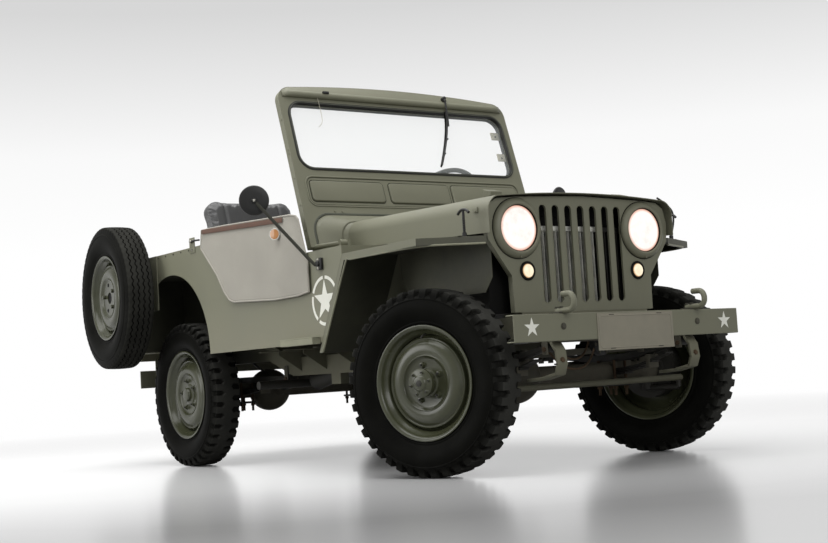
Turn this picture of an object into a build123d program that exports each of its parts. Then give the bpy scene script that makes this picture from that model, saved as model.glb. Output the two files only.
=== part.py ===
"""Small open four-wheel-drive army car, as separate solids at real size.

Millimetres. +X is ahead, +Y is to the driver's left, +Z is up, the ground is z = 0 and the
centre plane is y = 0. The front wheels stand turned a little to the left.
"""
from build123d import *
import os
from math import cos, radians, sin, sqrt

os.makedirs("parts", exist_ok=True)

# ---------------------------------------------------------------- running gear sizes
wheelbase = 2032.0
front_axle_x = 1125.0
rear_axle_x = front_axle_x - wheelbase
track = 1223.0
tyre_radius = 360.0
tyre_width = 160.0
bead_radius = 204.0
flange_radius = 221.0
rim_width = 114.0
rim_sheet = 4.0
rest_steer = 19.3
kingpin_inset = 66.0
kingpin_y = track / 2 - kingpin_inset
ball_radius = 60.0
cup_radius = 78.0
cup_end = 80.0
steer_arm = 150.0
steer_arm_drop = 84.0
tie_rod_radius = 13.0
running_gap = 0.3
spindle_radius = 24.0
axle_tube_radius = 36.0
drum_radius = 127.0
diff_y = -190.0
diff_radius = 108.0

# ---------------------------------------------------------------- frame and bumper sizes
rail_y = 348.0
rail_width = 44.0
rail_depth = 88.0
rail_wall = 5.0
rail_low = 465.0
rail_high = 545.0
bumper_face_x = 1627.0
bumper_half = 584.0
bumper_low = 485.0
bumper_high = 585.0
bumper_flange = 45.0
bumper_wall = 5.0
plate_low = 442.0
plate_high = 581.0
spring_width = 44.0
spring_depth = 30.0
spring_eye_radius = 17.0

# ---------------------------------------------------------------- body sizes
sheet = 4.0
tub_half = 724.0
tub_rear_x = -1525.0
sill_z = 550.0
rail_top_z = 1080.0
ledge_z = 935.0
seat_gap = 0.3
floor_z = rail_high + rail_depth / 2 + seat_gap + sheet
arch_radius = 410.0
arch_z = 555.0
fender_z = 900.0
fender_lip = 28.0
fender_rear_x = 735.0
fender_foot_x = 515.0
fender_foot_z = 507.0
fender_slope = (fender_rear_x - fender_foot_x) / (fender_z - fender_foot_z)
grille_x = 1375.0
hood_front_x = 1403.0
hood_rear_x = 430.0
hood_rear_half = 492.0
hood_front_half = 487.0
hood_rear_z = 1095.0
hood_front_z = 1071.0
hood_rear_low = 956.0
hood_front_low = 908.0
hood_shoulder = 60.0
hood_crown = 18.0
cowl_rear_x = 296.0
cowl_rear_z = hood_rear_z + 6
step_rear_x = 255.0
step_front_x = 525.0
step_reach = 38.0
step_depth = 26.0

# ---------------------------------------------------------------- windscreen sizes
screen_rake = 17.16
screen_x = 349.0
screen_z = 970.0
screen_half = 648.0
screen_top = 785.0
screen_crown = 26.0
screen_corner = 70.0
screen_foot = -8.0
screen_depth = 34.0
screen_stile = 42.0
arch_stile = 34.0
fold_x = 494.0
fold_z = 972.0
fold_y = screen_half - 96


def keep(piece, node):
    """Label a finished piece and write it as its own file."""
    piece.part.label = node
    export_step(piece.part, f"parts/{node}.step")


def round_bar(start, end, radius):
    """Round bar from one point to another."""
    along = Vector(*end) - Vector(*start)
    with BuildPart() as bar:
        with BuildSketch(Plane(origin=start, z_dir=along)):
            Circle(radius)
        extrude(amount=along.length)
    return bar.part


def bent_bar(points, bend, radius):
    """Round bar along straight runs joined by tangent arcs."""
    with BuildPart() as bar:
        with BuildLine() as path:
            FilletPolyline(*points, radius=bend)
        with BuildSketch(Plane(origin=path.line @ 0, z_dir=path.line % 0)):
            Circle(radius)
        sweep(path=path.line)
    return bar.part


def turned(points, centre, outward):
    """Solid turned about an axle: points are (outboard offset, radius) pairs in order."""
    axle = Vector(*outward)
    section = Plane(origin=centre, x_dir=axle, z_dir=axle.cross(Vector(0, 0, 1)))
    with BuildPart() as solid:
        with BuildSketch(section):
            with BuildLine():
                Polyline(*points, close=True)
            make_face()
        revolve(axis=Axis(centre, axle))
    return solid.part


def side_plate(points, y_start, thickness):
    """Flat plate in a lengthwise plane from (x, z) points, growing towards +Y."""
    with BuildPart() as plate:
        with BuildSketch(Plane(origin=(0, y_start, 0), x_dir=(1, 0, 0), z_dir=(0, -1, 0))):
            with BuildLine():
                Polyline(*points, close=True)
            make_face()
        extrude(amount=-thickness)
    return plate.part


def cross_plate(points, x_start, thickness):
    """Flat plate in a crosswise plane from (y, z) points, growing towards +X."""
    with BuildPart() as plate:
        with BuildSketch(Plane(origin=(x_start, 0, 0), x_dir=(0, 1, 0), z_dir=(1, 0, 0))):
            with BuildLine():
                Polyline(*points, close=True)
            make_face()
        extrude(amount=thickness)
    return plate.part


def slab(low, high):
    """Plain box between two corners."""
    size = Vector(*high) - Vector(*low)
    middle = (Vector(*high) + Vector(*low)) * 0.5
    with BuildPart() as block:
        with Locations(middle):
            Box(size.X, size.Y, size.Z)
    return block.part


def rail_centre(x):
    """Height of the middle of a frame rail at x."""
    for (x0, z0), (x1, z1) in zip(rail_line, rail_line[1:]):
        if x0 <= x <= x1:
            return z0 + (z1 - z0) * (x - x0) / (x1 - x0)
    return rail_high


def leg_x(z):
    """Lengthwise place of the fender's sloping rear leg at height z."""
    return fender_rear_x - (fender_z - z) * fender_slope


def flat_steer(side):
    """Unit vector along a front wheel's axle, outboard, at rest."""
    turn = radians(rest_steer)
    return (-side * sin(turn), side * cos(turn), 0)


# ================================================================ frame
rail_line = [
    (-1500, rail_high), (-560, rail_high), (-330, rail_low), (560, rail_low), (800, rail_high),
    (1440, rail_high), (1560, rail_high - 10), (bumper_face_x - bumper_wall, rail_high - 10),
]
rail_top = [(x, z + rail_depth / 2) for x, z in rail_line]
rail_bottom = [(x, z - rail_depth / 2) for x, z in rail_line]
crossmember_xs = [-1472, -560]
grille_foot_z = 606.0

# columns: axle x, eye ahead (x, z), eye behind (x, z)
spring_table = [(front_axle_x, (1545, 458), (700, 428)), (rear_axle_x, (-390, 411), (-1430, 462))]

with BuildPart() as frame:
    for side in (1, -1):
        inner = side * rail_y - rail_width / 2
        add(side_plate(rail_top + rail_bottom[::-1], inner, rail_width))
        pocket_top = [(x, z - rail_wall) for x, z in rail_top[1:-1]]
        pocket_bottom = [(x, z + rail_wall) for x, z in rail_bottom[1:-1]]
        start = inner - rail_wall if side == 1 else inner + rail_wall
        add(side_plate(pocket_top + pocket_bottom[::-1], start, rail_width), mode=Mode.SUBTRACT)
    cross_half = rail_y - rail_width / 2 + rail_wall
    for x in crossmember_xs:
        middle = rail_centre(x)
        add(slab((x - 25, -cross_half, middle - 38), (x + 25, cross_half, middle + 38)))
    # seat of the radiator and grille
    cradle_low = (grille_x - 113, -cross_half, rail_high - 20)
    add(slab(cradle_low, (grille_x, cross_half, grille_foot_z - seat_gap)))
    # dropped crossmember under the transfer case
    case_low = 400.0
    add(slab((20, -cross_half, case_low - 28), (100, cross_half, case_low - seat_gap)))
    for side in (1, -1):
        low_y = side * rail_y - rail_width / 2
        add(slab((20, low_y, case_low - 28), (100, low_y + rail_width, rail_low)))
        # spring hangers reach down to the top of each eye
        for axle_x, ahead, behind in spring_table:
            for eye_x, eye_z in (ahead, behind):
                eye_top = eye_z + 6 + spring_eye_radius + seat_gap
                hanger_top = rail_centre(eye_x)
                add(slab((eye_x - 12, low_y, eye_top), (eye_x + 12, low_y + rail_width, hanger_top)))
keep(frame, "frame")

# ================================================================ front bumper, hooks, plate
with BuildPart() as front_bumper:
    back = bumper_face_x - bumper_flange
    add(slab((back, -bumper_half, bumper_low), (bumper_face_x, bumper_half, bumper_high)))
    add(
        slab(
            (back - 1, -bumper_half - 1, bumper_low + bumper_wall),
            (bumper_face_x - bumper_wall, bumper_half + 1, bumper_high - bumper_wall),
        ),
        mode=Mode.SUBTRACT,
    )
keep(front_bumper, "front_bumper")

hook_bar = 11.0
with BuildPart() as tow_hooks:
    hook_low = bumper_high + hook_bar
    for y in (-0.98 * rail_y, 0.98 * rail_y):
        hook_route = [
            (bumper_face_x - 42, y, hook_low), (bumper_face_x + 55, y, hook_low),
            (bumper_face_x + 55, y, hook_low + 60), (bumper_face_x - 6, y, hook_low + 60),
        ]
        add(bent_bar(hook_route, 28, hook_bar))
keep(tow_hooks, "tow_hooks")

plate_centre_y = 13.0
plate_half = 198.0
with BuildPart() as front_plate:
    add(
        slab(
            (bumper_face_x, plate_centre_y - plate_half, plate_low),
            (bumper_face_x + 3, plate_centre_y + plate_half, plate_high),
        )
    )
keep(front_plate, "front_plate")

# ================================================================ rear bumperettes and drawbar
rear_face_x = -1500.0
bumperette_y = 475.0
bumperette_half = 140.0
bumperette_low = 405.0
bumperette_high = 500.0
bumperette_sheet = 8.0
standoff = 82.0
rear_beam_half = 560.0
drawbar_z = 500.0
drawbar_length = 120.0
drawbar_width = 90.0
drawbar_thick = 20.0
with BuildPart() as rear_bumper:
    face_x = rear_face_x - standoff
    for y in (-bumperette_y, bumperette_y):
        outer_low = (face_x - bumperette_sheet, y - bumperette_half, bumperette_low)
        add(slab(outer_low, (face_x, y + bumperette_half, bumperette_high)))
        add(slab((face_x, y - 12, bumperette_low + 15), (rear_face_x, y + 12, bumperette_high - 10)))
    beam_low = (rear_face_x - bumperette_sheet, -rear_beam_half, sill_z - 80)
    add(slab(beam_low, (rear_face_x, rear_beam_half, sill_z + 10)))
    with Locations((rear_face_x - drawbar_length / 2, 0, drawbar_z)):
        Box(drawbar_length, drawbar_width, drawbar_thick)
    with Locations((rear_face_x - 85, 0, drawbar_z)):
        Hole(16, depth=30)
keep(rear_bumper, "rear_bumper")

# ================================================================ radiator and grille
radiator_half = 250.0
radiator_rear_x = grille_x - 113
radiator_front_x = grille_x - 63
radiator_top = 985.0
with BuildPart() as radiator:
    core_low = (radiator_rear_x, -radiator_half, grille_foot_z)
    add(slab(core_low, (radiator_front_x, radiator_half, radiator_top)))
keep(radiator, "radiator")

lamp_y = 332.0
lamp_z = 929.0
lamp_ring_radius = 116.0
marker_y = 292.0
marker_z = 765.0
slot_pitch = 65.5
slot_width = 37.0
slot_low = 640.0
slot_high = 1024.0
# columns: y, z of the left half of the grille's edge, from the top down
grille_edge = [
    (330, 1052), (425, 1044), (462, 1020), (478, 960), (472, 885), (368, 745), (365, grille_foot_z),
]
grille_outline = [(0, 1062)] + grille_edge + [(-y, z) for y, z in reversed(grille_edge)]
with BuildPart() as grille:
    add(cross_plate(grille_outline, grille_x - 26, 26))
    shrink = 0.985
    inner_outline = [
        (y * shrink, grille_foot_z + (z - grille_foot_z) * shrink + 3) for y, z in grille_outline
    ]
    add(cross_plate(inner_outline, grille_x - 30, 27), mode=Mode.SUBTRACT)
    with BuildSketch(Plane(origin=(grille_x + 2, 0, 0), x_dir=(0, 1, 0), z_dir=(1, 0, 0))):
        for step in range(-3, 4):
            with Locations((step * slot_pitch, (slot_low + slot_high) / 2)):
                SlotOverall(slot_high - slot_low, slot_width, rotation=90)
        for side in (1, -1):
            with Locations((side * lamp_y, lamp_z)):
                Circle(lamp_ring_radius - 16)
            with Locations((side * marker_y, marker_z)):
                Circle(30)
    extrude(amount=-60, mode=Mode.SUBTRACT)
keep(grille, "grille")

# lamp sections: offset ahead of the grille face, radius
head_shell_section = [
    (-70, 0), (-70, 60), (-20, 99), (0, 99), (0, lamp_ring_radius), (8, lamp_ring_radius), (22, 96),
    (22, 88.5), (10, 88.5), (10, 0),
]
head_lens_section = [(10.3, 0), (10.3, 88), (14, 80), (18, 45), (20, 0)]
marker_shell_section = [
    (-34, 0), (-34, 22), (-6, 29), (0, 29), (0, 37.5), (7, 37.5), (9, 28), (4, 27.8), (4, 0),
]
marker_lens_section = [(4.3, 0), (4.3, 27.3), (12, 22), (18, 0)]
lamp_table = [
    ("front_lamps", head_shell_section, marker_shell_section),
    ("lamp_lenses", head_lens_section, marker_lens_section),
]
for node, head_section, marker_section in lamp_table:
    with BuildPart() as lamp:
        for side in (1, -1):
            add(turned(head_section, (grille_x, side * lamp_y, lamp_z), (1, 0, 0)))
            add(turned(marker_section, (grille_x, side * marker_y, marker_z), (1, 0, 0)))
    keep(lamp, node)

# ================================================================ fenders
fender_front_x = 1255.0
fender_tuck_x = grille_x - 28
fender_skin = 3.0
fender_nose_y = 481.0
apron_y = 440.0
latch_x = 1330.0
latch_y = fender_nose_y + 0.387 * (tub_half - fender_nose_y)
latch_bar = 5.0
for side, node in ((1, "fender_left"), (-1, "fender_right")):
    top_outline = [
        (fender_front_x, side * tub_half), (grille_x - 1, side * fender_nose_y),
        (fender_tuck_x, side * fender_nose_y), (fender_tuck_x, side * apron_y),
        (fender_rear_x, side * apron_y), (fender_rear_x, side * tub_half),
    ]
    with BuildPart() as fender:
        with BuildSketch(Plane.XY.offset(fender_z)):
            with BuildLine():
                Polyline(*top_outline, close=True)
            make_face()
        extrude(amount=-fender_skin)
        # turned-down lip along the outside and the nose
        lip_start = side * tub_half - fender_skin if side == 1 else side * tub_half
        lip = [
            (fender_front_x, fender_z), (fender_front_x, fender_z - fender_lip),
            (fender_rear_x + 6, fender_z - fender_lip), (fender_rear_x, fender_z),
        ]
        add(side_plate(lip, lip_start, fender_skin))
        with BuildSketch(Plane.XY.offset(fender_z)):
            with BuildLine():
                Polyline(
                    (fender_front_x, side * tub_half), (grille_x - 1, side * fender_nose_y),
                    (grille_x - 5, side * fender_nose_y), (fender_front_x - 4, side * tub_half),
                    close=True,
                )
            make_face()
        extrude(amount=-fender_lip)
        # sloping rear leg with its outer edge
        leg_width = tub_half - apron_y - 10
        leg = [
            (fender_rear_x, fender_z), (fender_foot_x, fender_foot_z),
            (fender_foot_x + fender_skin + 1, fender_foot_z), (fender_rear_x + fender_skin + 1, fender_z),
        ]
        leg_start = tub_half - leg_width if side == 1 else -tub_half
        add(side_plate(leg, leg_start, leg_width))
        edge = [
            (fender_rear_x, fender_z), (fender_foot_x, fender_foot_z),
            (fender_foot_x + 26, fender_foot_z), (fender_rear_x + 26, fender_z),
        ]
        add(side_plate(edge, lip_start, fender_skin))
        # inner apron beside the engine
        apron_start = apron_y if side == 1 else -apron_y - fender_skin
        apron = [
            (fender_tuck_x, fender_z), (fender_tuck_x, 745), (1300, 690), (800, 690),
            (fender_rear_x + 10, 790), (fender_rear_x + 3, fender_z),
        ]
        add(side_plate(apron, apron_start, fender_skin))
        # hood latch standing on the fender
        hook = [
            (latch_x, side * latch_y, fender_z), (latch_x, side * latch_y, fender_z + 103),
            (latch_x, side * (latch_y - 60), fender_z + 122),
        ]
        add(bent_bar(hook, 22, latch_bar))
    keep(fender, node)


def bonnet_face(half, top, bottom):
    """Crosswise section of the hood or cowl: straight sides, round shoulders, crowned top."""
    flat = half - hood_shoulder
    shoulder_top = top - hood_crown
    spring = shoulder_top - hood_shoulder
    corner = hood_shoulder * sqrt(0.5)
    with BuildSketch() as face:
        with BuildLine():
            Line((-half, bottom), (half, bottom))
            Line((half, bottom), (half, spring))
            ThreePointArc((half, spring), (flat + corner, spring + corner), (flat, shoulder_top))
            ThreePointArc((flat, shoulder_top), (0, top), (-flat, shoulder_top))
            ThreePointArc((-flat, shoulder_top), (-flat - corner, spring + corner), (-half, spring))
            Line((-half, spring), (-half, bottom))
        make_face()
    return face.sketch


# ================================================================ hood
hood_sheet = 3.0
hinge_z = hood_rear_z
hinge_half = 150.0
hinge_bar = 4.5
# columns: x, half width, top z, lowest z of the side
hood_sections = [
    (hood_rear_x, hood_rear_half, hood_rear_z, hood_rear_low),
    (hood_front_x, hood_front_half, hood_front_z, hood_front_low),
]
with BuildPart() as hood:
    for x, half, top, bottom in hood_sections:
        with BuildSketch(Plane(origin=(x, 0, 0), x_dir=(0, 1, 0), z_dir=(1, 0, 0))):
            add(bonnet_face(half, top, bottom))
    loft()
    for x, half, top, bottom in hood_sections:
        reach = 0 if x == hood_front_x else -2
        with BuildSketch(Plane(origin=(x + reach, 0, 0), x_dir=(0, 1, 0), z_dir=(1, 0, 0))):
            add(bonnet_face(half - hood_sheet, top - hood_sheet, bottom - 2))
    loft(mode=Mode.SUBTRACT)
    # hinge bar along the rear edge
    add(round_bar((hood_rear_x, -hinge_half, hinge_z), (hood_rear_x, hinge_half, hinge_z), hinge_bar))
keep(hood, "hood")

block_x = 1252.0
block_y = 340.0
block_length = 50.0
block_width = 58.0
block_foot_z = hood_front_z - 4.8
block_height = 42.3
with BuildPart() as hood_blocks:
    for side in (1, -1):
        with Locations((block_x, side * block_y, block_foot_z + block_height / 2)):
            Box(block_length, block_width, block_height)
keep(hood_blocks, "hood_blocks")

# ================================================================ cowl
toe_top_z = 895.0
toe_low_x = leg_x(floor_z - sheet) - 1
toe_high_x = leg_x(toe_top_z) - 1
footwell_inner = 300.0
firewall_x = hood_rear_x - 6
cowl_half_rear = screen_half - screen_stile - 6
tunnel_half = 170.0
tunnel_rear_x = -150.0
tunnel_top = 735.0
column_tilt = radians(38)
column_radius = 18.0
steer_wheel_radius = 216.0
wheel_hub = Vector(-90, 410, 1236)
column_dir = Vector(-cos(column_tilt), 0, sin(column_tilt))
column_top = wheel_hub - column_dir * (38 + running_gap)
column_foot = wheel_hub - column_dir * 1040
# columns: x, half width, top z, lowest z
cowl_sections = [
    (cowl_rear_x, cowl_half_rear, cowl_rear_z, ledge_z),
    (firewall_x, hood_rear_half - 4, hood_rear_z - 4, ledge_z),
]
with BuildPart() as cowl:
    for x, half, top, bottom in cowl_sections:
        with BuildSketch(Plane(origin=(x, 0, 0), x_dir=(0, 1, 0), z_dir=(1, 0, 0))):
            add(bonnet_face(half, top, bottom))
    loft()
    for x, half, top, bottom in cowl_sections:
        reach = -4 if x == cowl_rear_x else -sheet
        with BuildSketch(Plane(origin=(x + reach, 0, 0), x_dir=(0, 1, 0), z_dir=(1, 0, 0))):
            add(bonnet_face(half - sheet, top - sheet, bottom - 2))
    loft(mode=Mode.SUBTRACT)
    # dash panel
    add(slab((cowl_rear_x, -tub_half + sheet, 905), (cowl_rear_x + sheet, tub_half - sheet, ledge_z)))
    with BuildSketch(Plane(origin=(cowl_rear_x, 0, 0), x_dir=(0, 1, 0), z_dir=(1, 0, 0))):
        add(bonnet_face(cowl_half_rear, cowl_rear_z, ledge_z - 2))
    extrude(amount=sheet)
    # firewall between the footwells, open over the gearbox
    add(slab((firewall_x - sheet, -footwell_inner, floor_z), (firewall_x, footwell_inner, ledge_z + 6)))
    add(
        slab((firewall_x - sheet - 1, -tunnel_half, floor_z - 1), (firewall_x + 1, tunnel_half, tunnel_top)),
        mode=Mode.SUBTRACT,
    )
    # ledges, toe boards and footwell cheeks
    for side in (1, -1):
        inner_y = footwell_inner if side == 1 else -tub_half + sheet
        width = tub_half - sheet - footwell_inner
        footwell = [
            (cowl_rear_x + sheet, ledge_z), (toe_high_x, ledge_z), (toe_high_x, toe_top_z),
            (toe_low_x, floor_z), (toe_low_x - sheet, floor_z), (toe_high_x - sheet, toe_top_z),
            (toe_high_x - sheet, ledge_z - sheet), (cowl_rear_x + sheet, ledge_z - sheet),
        ]
        add(side_plate(footwell, inner_y, width))
        cheek = [
            (firewall_x - sheet, ledge_z), (toe_high_x, ledge_z), (toe_high_x, toe_top_z),
            (toe_low_x, floor_z), (firewall_x - sheet, floor_z),
        ]
        cheek_start = footwell_inner if side == 1 else -footwell_inner - sheet
        add(side_plate(cheek, cheek_start, sheet))
    # fixed leaf of the hood's hinge
    leaf_front = hood_rear_x - hinge_bar - seat_gap
    add(slab((firewall_x - 16, -hinge_half, hinge_z - 7), (leaf_front, hinge_half, hinge_z + 2)))
    # ears that carry the folding windscreen
    ear_thick = 14.0
    for side in (1, -1):
        outer_face = side * (fold_y - seat_gap)
        low_y = min(outer_face, outer_face - side * ear_thick)
        add(slab((fold_x - 18, low_y, ledge_z), (fold_x + 18, low_y + ear_thick, fold_z + 16)))
    # way for the steering column
    add(round_bar(column_foot, column_top, column_radius + 6), mode=Mode.SUBTRACT)
keep(cowl, "cowl")

# ================================================================ tub
door_front_x = 445.0
door_low_z = 778.0
for side, node in ((1, "side_left"), (-1, "side_right")):
    start = side * tub_half - sheet if side == 1 else side * tub_half
    with BuildPart() as side_panel:
        plane = Plane(origin=(0, start, 0), x_dir=(1, 0, 0), z_dir=(0, -1, 0))
        with BuildSketch(plane):
            with BuildLine():
                Polyline(
                    (leg_x(sill_z) - 1, sill_z), (tub_rear_x, sill_z), (tub_rear_x, rail_top_z),
                    (-520, rail_top_z), (-430, 1002), (-350, 930), (-258, 818), (-195, door_low_z),
                    (door_front_x - 45, door_low_z), (door_front_x, door_low_z + 45),
                    (door_front_x, ledge_z), (toe_high_x, ledge_z), (toe_high_x, toe_top_z),
                    close=True,
                )
            make_face()
        extrude(amount=-sheet)
        with BuildSketch(plane):
            with Locations((rear_axle_x, arch_z)):
                Circle(arch_radius)
            with Locations((rear_axle_x, arch_z - arch_radius / 2)):
                Rectangle(2 * arch_radius, arch_radius)
        extrude(amount=-sheet, mode=Mode.SUBTRACT)
        tube_y = side * (tub_half - sheet - 12)
        add(slab((tub_rear_x + sheet, tube_y - 12, rail_top_z - 24), (-520, tube_y + 12, rail_top_z)))
        step_y = side * tub_half if side == 1 else side * (tub_half + step_reach)
        step_z = sill_z - 5
        add(
            slab((step_rear_x, step_y, step_z), (step_front_x, step_y + step_reach, step_z + step_depth))
        )
    keep(side_panel, node)

wheelhouse_inner = 455.0
wheelhouse_top = 975.0
wheelhouse_front_x = -486.0
wheelhouse_rear_x = -1330.0
inside = tub_half - sheet
with BuildPart() as wheelhouses:
    for side in (1, -1):
        low_y = min(side * wheelhouse_inner, side * inside)
        high_y = max(side * wheelhouse_inner, side * inside)
        add(slab((wheelhouse_rear_x, low_y, floor_z), (wheelhouse_front_x, high_y, wheelhouse_top)))
        gap_low = low_y if side == -1 else low_y + sheet
        gap_high = high_y if side == 1 else high_y - sheet
        add(
            slab(
                (wheelhouse_rear_x + sheet, gap_low - (side == -1), floor_z - 1),
                (wheelhouse_front_x - sheet, gap_high + (side == 1), wheelhouse_top - sheet),
            ),
            mode=Mode.SUBTRACT,
        )
keep(wheelhouses, "wheelhouses")

with BuildPart() as tub_floor:
    floor_rear_x = tub_rear_x + sheet
    add(slab((floor_rear_x, -wheelhouse_inner, floor_z - sheet), (toe_low_x, wheelhouse_inner, floor_z)))
    add(slab((wheelhouse_front_x, -inside, floor_z - sheet), (toe_low_x, inside, floor_z)))
    add(slab((floor_rear_x, -inside, floor_z - sheet), (wheelhouse_rear_x, inside, floor_z)))
    add(slab((tunnel_rear_x, -tunnel_half, floor_z - sheet), (firewall_x, tunnel_half, tunnel_top)))
    add(
        slab(
            (tunnel_rear_x + sheet, -tunnel_half + sheet, floor_z - sheet - 1),
            (601, tunnel_half - sheet, tunnel_top - sheet),
        ),
        mode=Mode.SUBTRACT,
    )
    add(
        slab(
            (firewall_x - sheet, -footwell_inner, floor_z - sheet - 1),
            (toe_low_x + 1, footwell_inner, tunnel_top + 1),
        ),
        mode=Mode.SUBTRACT,
    )
keep(tub_floor, "tub_floor")

tailgate_half = 455.0
tailgate_low = 672.0
tailgate_thick = 14.0
hinge_radius = 7.0
hinge_x = tub_rear_x - 10
with BuildPart() as tub_rear:
    add(slab((tub_rear_x, -inside, sill_z), (tub_rear_x + sheet, inside, rail_top_z)))
    add(
        slab(
            (tub_rear_x - 1, -tailgate_half - 6, tailgate_low - 6),
            (tub_rear_x + sheet + 1, tailgate_half + 6, rail_top_z + 1),
        ),
        mode=Mode.SUBTRACT,
    )
    # bearers under the tailgate's hinge bar
    bearer_top = tailgate_low - hinge_radius - seat_gap
    for y in (-320, 0, 320):
        add(slab((tub_rear_x - 13, y - 30, bearer_top - 14), (tub_rear_x + 1, y + 30, bearer_top)))
keep(tub_rear, "tub_rear")

with BuildPart() as tailgate:
    gate_low = (tub_rear_x - tailgate_thick, -tailgate_half, tailgate_low + 10)
    add(slab(gate_low, (tub_rear_x, tailgate_half, rail_top_z)))
    hinge_start = (hinge_x, -tailgate_half, tailgate_low)
    add(round_bar(hinge_start, (hinge_x, tailgate_half, tailgate_low), hinge_radius))
    add(slab((hinge_x - 2, -tailgate_half, tailgate_low), (hinge_x + 2, tailgate_half, tailgate_low + 12)))
keep(tailgate, "tailgate")

tail_lamp_y = tub_half - 124
tail_lamp_z = 760.0
# columns: offset behind the panel, radius
tail_section = [(0, 0), (0, 42), (16, 42), (26, 36), (30, 0)]
with BuildPart() as tail_lamps:
    for side in (1, -1):
        add(turned(tail_section, (tub_rear_x, side * tail_lamp_y, tail_lamp_z), (-1, 0, 0)))
keep(tail_lamps, "tail_lamps")

# ================================================================ doors
# columns: x, z of the canvas door's outline
door_outline = [
    (462, 758), (462, 894), (398, 1089), (331, 1107), (-505, 1152), (-523, 1060), (-444, 987),
    (-367, 917), (-300, 830), (-208, 777),
]
door_thick = 18.0
door_pin_x = 464.0
door_pin_low = 800.0
door_pin_high = 880.0
door_pin_radius = 5.0
for side, node in ((1, "door_left"), (-1, "door_right")):
    inner_face = side * (tub_half + seat_gap)
    start = inner_face if side == 1 else inner_face - door_thick
    with BuildPart() as door:
        add(side_plate(door_outline, start, door_thick))
        pin_y = side * (tub_half + seat_gap + door_thick)
        pin_foot = (door_pin_x, pin_y, door_pin_low)
        add(round_bar(pin_foot, (door_pin_x, pin_y, door_pin_high), door_pin_radius))
    keep(door, node)

# ================================================================ windscreen
rake = radians(screen_rake)
screen_plane = Plane(origin=(screen_x, 0, screen_z), x_dir=(0, 1, 0), z_dir=(cos(rake), 0, sin(rake)))
glass_low = 380.0
glass_high = 702.0
glass_half = screen_half - screen_stile
glass_corner = 62.0
arch_top = 154.0
arch_inner = screen_half - arch_stile
arch_corner = 90.0
with BuildPart() as windshield_frame:
    with BuildSketch(screen_plane):
        with BuildLine():
            spring = screen_top - screen_corner
            flat = screen_half - screen_corner
            corner_y = flat + screen_corner * sqrt(0.5)
            corner_v = spring + screen_corner * sqrt(0.5)
            Line((-screen_half, spring), (-screen_half, screen_foot))
            Line((-screen_half, screen_foot), (screen_half, screen_foot))
            Line((screen_half, screen_foot), (screen_half, spring))
            ThreePointArc((screen_half, spring), (corner_y, corner_v), (flat, screen_top))
            ThreePointArc((flat, screen_top), (0, screen_top + screen_crown), (-flat, screen_top))
            ThreePointArc((-flat, screen_top), (-corner_y, corner_v), (-screen_half, spring))
        make_face()
        with Locations((0, arch_top / 2 - 60)):
            RectangleRounded(2 * arch_inner, arch_top + 120, arch_corner, mode=Mode.SUBTRACT)
        with Locations((0, (glass_low + glass_high) / 2)):
            RectangleRounded(2 * glass_half, glass_high - glass_low, glass_corner, mode=Mode.SUBTRACT)
    extrude(amount=screen_depth / 2, both=True)
    for side in (1, -1):
        leg_y = side * (screen_half - 22)
        add(round_bar((screen_x + 8, leg_y, screen_z - 2), (fold_x, side * (fold_y + 16), fold_z), 11))
        low_y = min(side * fold_y, side * (fold_y + 30))
        add(round_bar((fold_x, low_y, fold_z), (fold_x, low_y + 30, fold_z), 15))
keep(windshield_frame, "windshield_frame")

with BuildPart() as windshield_glass:
    with BuildSketch(screen_plane):
        with Locations((0, (glass_low + glass_high) / 2)):
            RectangleRounded(2 * glass_half, glass_high - glass_low, glass_corner)
    extrude(amount=3, both=True)
keep(windshield_glass, "windshield_glass")

# columns: crosswise place, distance up the screen
wiper_line = [(293, 778), (280, 600), (170, 418)]
wiper_width = 10.0
wiper_boss = 12.0
with BuildPart() as wiper:
    with BuildSketch(screen_plane.offset(screen_depth / 2)):
        with Locations(wiper_line[0]):
            Circle(wiper_boss)
        with BuildLine():
            Polyline(*wiper_line)
        trace(line_width=wiper_width)
    extrude(amount=wiper_width)
keep(wiper, "wiper")

# ================================================================ seats
cushion_low = 800.0
cushion_half = 235.0
seat_box_half = 220.0
seat_width = 500.0
seat_table = [("seat_driver", tub_half - 294), ("seat_passenger", 262 - tub_half)]
with BuildPart() as seat_frames:
    for node, y in seat_table:
        add(slab((-480, y - seat_box_half, floor_z), (-110, y + seat_box_half, cushion_low)))
keep(seat_frames, "seat_frames")
for node, y in seat_table:
    with BuildPart() as seat:
        cushion_foot = (-470, y - cushion_half, cushion_low + seat_gap)
        add(slab(cushion_foot, (-60, y + cushion_half, cushion_low + 95)))
        back = [
            (-440, cushion_low + 60), (-350, cushion_low + 70), (-462, cushion_low + 495),
            (-545, cushion_low + 515), (-565, cushion_low + 485),
        ]
        add(side_plate(back, y - seat_width / 2, seat_width))
    keep(seat, node)

# ================================================================ controls
wheel_up = column_dir.cross(Vector(0, 1, 0))
wheel_grip = 12.0
wheel_boss = 26.0
with BuildPart() as steering_wheel:
    with Locations(Plane(origin=wheel_hub, z_dir=column_dir)):
        Torus(steer_wheel_radius - wheel_grip, wheel_grip)
    add(round_bar(wheel_hub - column_dir * 38, wheel_hub + column_dir * 8, wheel_boss))
    for turn in (0, 120, 240):
        spoke = Vector(0, 1, 0) * cos(radians(turn)) + wheel_up * sin(radians(turn))
        root = wheel_hub + spoke * (wheel_boss - 6)
        add(round_bar(root, wheel_hub + spoke * (steer_wheel_radius - wheel_grip), 6))
keep(steering_wheel, "steering_wheel")

with BuildPart() as steering_column:
    add(round_bar(column_top, column_foot, column_radius))
    gear_y = rail_y + rail_width / 2 + seat_gap
    gear_low = (column_foot.X - 50, gear_y, column_foot.Z - 50)
    gear_high = (column_foot.X + 45, gear_y + 80, column_foot.Z + 50)
    add(slab(gear_low, gear_high))
keep(steering_column, "steering_column")

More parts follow.
